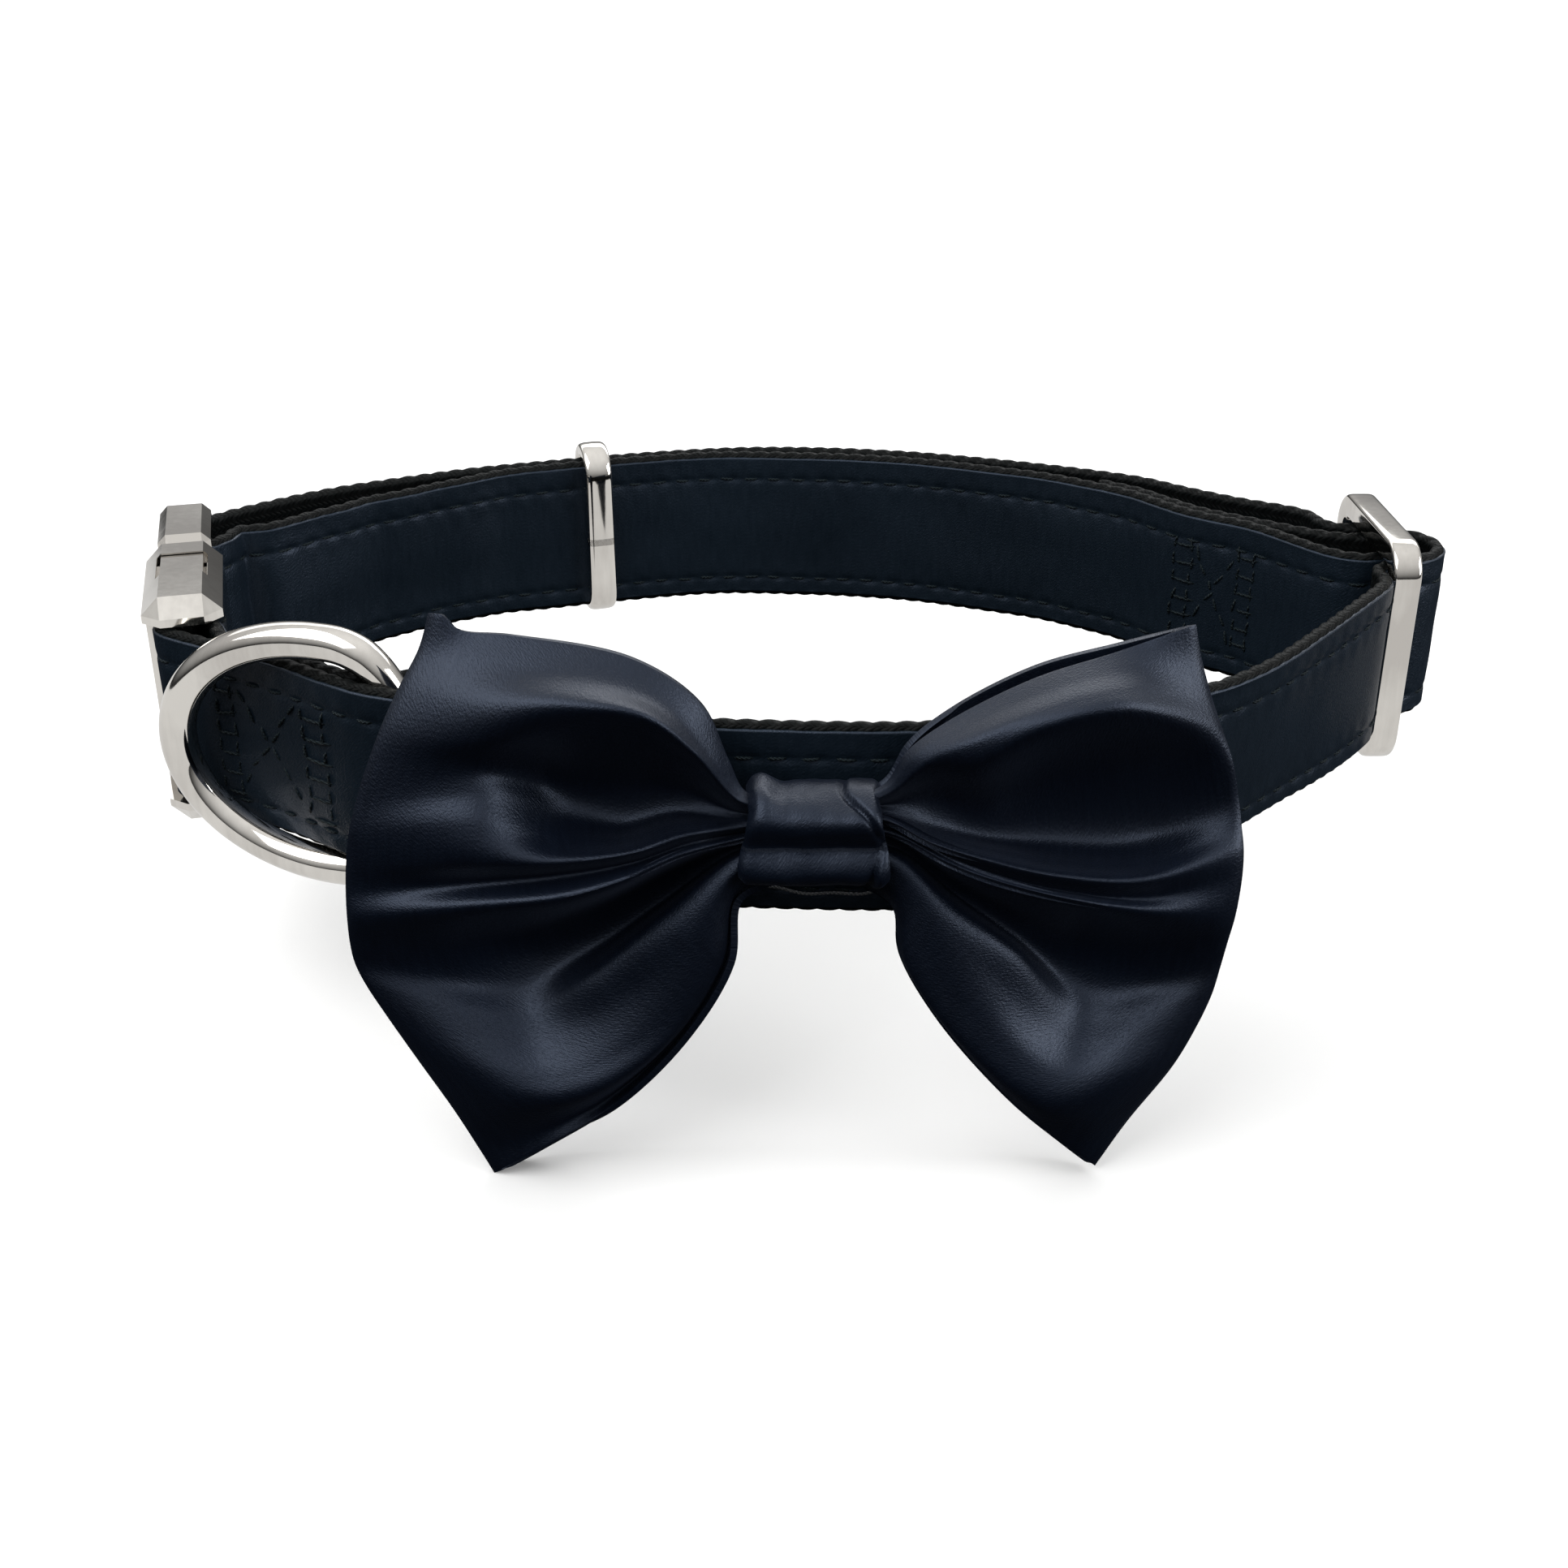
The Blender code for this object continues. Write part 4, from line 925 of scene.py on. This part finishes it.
def rounded(halfOut, halfSide, power, count):
    # a section between an ellipse (power 1) and a box (power 0)
    turn = np.linspace(0, 2 * np.pi, count, endpoint=False)
    return np.stack([np.sign(np.cos(turn)) * np.abs(np.cos(turn)) ** power * halfOut,
                     np.sign(np.sin(turn)) * np.abs(np.sin(turn)) ** power * halfSide], 1)


def sweep(path, section, ahead, scale=1.0, closed=True):
    # a section carried along a path in an upright plane; ahead is the plane's level line
    path = np.asarray(path, float)
    if closed:
        along = np.roll(path, -1, 0) - np.roll(path, 1, 0)
    else:
        along = np.gradient(path, axis=0)
    along /= np.linalg.norm(along, axis=1)[:, None]
    outside = np.stack([along[:, 1], -along[:, 0]], 1)
    if (outside * (path - path.mean(0))).sum() < 0:
        outside = -outside
    scale = np.broadcast_to(scale, len(path))
    plane = path[:, None] + outside[:, None] * (section[:, 0] * scale[:, None])[..., None]
    sideways = section[:, 1] * scale[:, None]
    points = np.empty(sideways.shape + (3,))
    points[..., 0] = plane[..., 0] * ahead[0] - sideways * ahead[1]
    points[..., 1] = plane[..., 0] * ahead[1] + sideways * ahead[0]
    points[..., 2] = plane[..., 1]
    faces = [tuple(f) for f in quads(len(path), len(section), closeRows=closed,
                                     closeColumns=True).tolist()]
    return points, faces if closed else faces + capEnds(len(path), len(section))


def loopPath(halfWide, halfTall, corner, around, straight):
    # a rounded rectangle, from the middle of its left side, anticlockwise from below
    path = [(-halfWide, z) for z in np.linspace(0, -halfTall + corner, straight)[:-1]]
    for cx, cz, start in ((-1, -1, 180.0), (1, -1, 270.0), (1, 1, 0.0), (-1, 1, 90.0)):
        for turn in np.radians(np.linspace(start, start + 90, around)):
            path.append((cx * (halfWide - corner) + corner * math.cos(turn),
                         cz * (halfTall - corner) + corner * math.sin(turn)))
    path += [(-halfWide, z) for z in np.linspace(halfTall - corner, 0, straight)[1:]]
    return path


ring = {
    "bar": (-46.358 * mm, -44.041 * mm, 0.0),
    "turn": math.radians(164.5),
    "wire": 2.40 * mm,
    "barWire": 2.1 * mm,
    "rise": 0.65,
    # from the bar round the corner; the rest is half an ellipse
    "corner": [(0.0, 0.0), (0.0, 3.5), (0.35, 6.2), (1.3, 8.8), (2.8, 11.2), (4.6, 13.3),
               (6.8, 14.9), (9.4, 15.8)],
    "bend": 12.8,
    "halfTall": 16.0,
    "reach": 34.2,
}


def makeRing():
    curve = [(ring["bend"] + (ring["reach"] - ring["bend"]) * math.cos(a),
              ring["halfTall"] * math.sin(a)) for a in np.linspace(math.pi / 2, 0, 30)]
    half = resample(ring["corner"] + curve, 110)
    other = half[1:-1][::-1] * (1, -1)
    path = np.vstack([half, other])
    thick = np.clip((path[:, 0] - 1.5) / 5.0, 0, 1)
    thick = ring["barWire"] + (ring["wire"] - ring["barWire"]) * thick
    path = path + np.stack([path[:, 0] * 0, np.clip(path[:, 0] / 6, 0, 1) * ring["rise"]], 1)
    points, faces = sweep(path * mm, rounded(1, 1, 1, 32), (1, 0), thick)
    item = buildMixed("leashRing", points, faces, metal, points * 0)
    item.matrix_world = (Matrix.Translation(ring["bar"])
                         @ Matrix.Rotation(ring["turn"], 4, "Z"))
    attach(item, "ring")
    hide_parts("leash_ring")
    return item


keeper = {
    "halfWide": 4.1 * mm,
    "halfTall": 13.5 * mm,
    "corner": 4.0 * mm,
    "halfStrip": 2.25 * mm,
    "halfThick": 1.15 * mm,
    "slit": 0.42 * mm,
    "rise": 0.75 * mm,
    "shift": 1.2 * mm,
}


def makeKeeper():
    low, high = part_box("keeper_loop")
    middle = np.array((low + high) / 2)[:2]
    nearest = int(np.argmin(np.linalg.norm(run.place - middle, axis=1)))
    side = run.side[nearest]
    out = side if side @ middle > 0 else -side
    path = np.array(loopPath(keeper["halfWide"], keeper["halfTall"], keeper["corner"], 15, 18))
    path[0, 1] -= keeper["slit"] / 2 + keeper["rise"] * 2
    path[-1, 1] += keeper["slit"] / 2 - keeper["rise"] * 2
    points, faces = sweep(path, rounded(keeper["halfThick"], keeper["halfStrip"], 0.55, 36), out,
                          closed=False)
    middle = middle + np.array([out[1], -out[0]]) * keeper["shift"]
    points += (*middle, keeper["rise"])
    item = buildMixed("keeperLoop", points, faces, metal, points * 0)
    item.data.set_sharp_from_angle(angle=math.radians(50))
    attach(item, "collar")
    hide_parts("keeper_loop")
    return item


slider = {
    "middle": (88.2 * mm, 7.9 * mm, -0.3 * mm),
    "turn": math.radians(90.5),
    "halfLong": 13.2 * mm,
    "halfTall": 15.1 * mm,
    "corner": 3.2 * mm,
    "halfBar": 1.85 * mm,
    "halfThick": 2.1 * mm,
}


def makeSlider():
    ahead = (math.cos(slider["turn"]), math.sin(slider["turn"]))
    path = loopPath(slider["halfLong"], slider["halfTall"], slider["corner"], 12, 12)[:-1]
    points, faces = sweep(path, rounded(slider["halfBar"], slider["halfThick"], 0.36, 40), ahead)
    tall = slider["halfTall"]
    bar, barFaces = sweep([(0.0, z) for z in np.linspace(-tall, tall, 20)],
                          rounded(slider["halfBar"] * 0.95, slider["halfThick"] * 0.8, 0.5, 24),
                          ahead, closed=False)
    count = points.shape[0] * points.shape[1]
    points = np.vstack([points.reshape(-1, 3), bar.reshape(-1, 3)]) + slider["middle"]
    faces = faces + [tuple(i + count for i in face) for face in barFaces]
    item = buildMixed("sliderFrame", points, faces, metal, points * 0)
    item.data.set_sharp_from_angle(angle=math.radians(60))
    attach(item, "collar")
    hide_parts("slider_frame")
    return item


makeRing()
makeKeeper()
makeSlider()
for name in ("buckle_socket", "buckle_plug"):
    item = cad[name]
    item.data.materials.clear()
    item.data.materials.append(metal)
print("metal made")


# floor, light and camera

studio = {
    "floor": -0.0440,
    "camera": (0.0, -0.26175, 0.1070),
    "tilt": 63.5,
    "focal": 2354.0,  # in pixels of a 1932-pixel frame
    # place, aim, size and power
    "lamps": {
        "keyLeft": ((-0.42, -0.30, 0.62), (0, -0.03, 0), (0.8, 0.6), 4.6),
        "fillRight": ((0.75, -0.25, 0.30), (0.03, 0, 0), (0.5, 0.5), 4.2),
        "rimBack": ((0.25, 0.80, 0.60), (0, 0.03, 0), (0.9, 0.4), 2.0),
        "farFloor": ((0, 1.9, 1.2), (0, 1.9, 0), (4.0, 1.5), 22.0),
    },
    "tableGlow": 6.0,
    # the sky's brightness from straight down to straight up
    "sky": [(0.0, 0.01), (0.49, 0.02), (0.60, 0.34), (0.74, 0.62), (1.0, 1.0)],
}

bpy.ops.mesh.primitive_plane_add(size=8.0, location=(0, 1.5, studio["floor"]))
floor = bpy.context.object
floor.name = "paleFloor"
floor.data.materials.append(palePaper())
floor.visible_glossy = False
floor.visible_diffuse = False


def softbox(name, place, aim, size, power):
    light = bpy.data.lights.new(name, "AREA")
    light.shape = "RECTANGLE"
    light.size, light.size_y = size
    light.energy = power
    lamp = bpy.data.objects.new(name, light)
    lamp.location = place
    lamp.rotation_euler = (Vector(aim) - Vector(place)).to_track_quat("-Z", "Y").to_euler()
    bpy.context.scene.collection.objects.link(lamp)
    return lamp


for name, (place, aim, size, power) in studio["lamps"].items():
    softbox(name, place, aim, size, power)
# what the metal sees below: a pale table, kept off the dark cloth
polished = bpy.data.collections.new("polished")
for name in ("leashRing", "keeperLoop", "buckle_socket", "buckle_plug", "sliderFrame"):
    polished.objects.link(bpy.data.objects[name])
card = softbox("tableGlow", (0, -0.1, studio["floor"] + 0.5 * mm), (0, -0.1, 1), (1.6, 1.6),
               studio["tableGlow"])
card.light_linking.receiver_collection = polished
card.visible_camera = False

world = bpy.data.worlds.new("studioWorld")
bpy.context.scene.world = world
world.use_nodes = True
sky = world.node_tree.nodes
place = sky.new("ShaderNodeTexCoord")
split = sky.new("ShaderNodeSeparateXYZ")
ramp = sky.new("ShaderNodeValToRGB")
shift = sky.new("ShaderNodeMath")
shift.operation = "MULTIPLY_ADD"
shift.inputs[1].default_value = 0.5
shift.inputs[2].default_value = 0.5
stops = studio["sky"]
for _ in stops[2:]:
    ramp.color_ramp.elements.new(0.5)
for stop, (at, shade) in zip(ramp.color_ramp.elements, stops):
    stop.position = at
    stop.color = (shade, shade, shade, 1)
wires = world.node_tree.links
wires.new(place.outputs["Generated"], split.inputs[0])
wires.new(split.outputs[2], shift.inputs[0])
wires.new(shift.outputs[0], ramp.inputs[0])
wires.new(ramp.outputs[0], sky["Background"].inputs["Color"])
sky["Background"].inputs["Strength"].default_value = 1.0

lens = bpy.data.cameras.new("camera")
lens.sensor_width = 36.0
lens.lens = studio["focal"] / 1932 * 36.0
lens.clip_start = 0.01
camera = bpy.data.objects.new("camera", lens)
camera.location = studio["camera"]
camera.rotation_euler = (math.radians(studio["tilt"]), 0.0, 0.0)
bpy.context.scene.collection.objects.link(camera)
bpy.context.scene.camera = camera
bpy.context.scene.view_settings.view_transform = "Standard"
print("studio made")
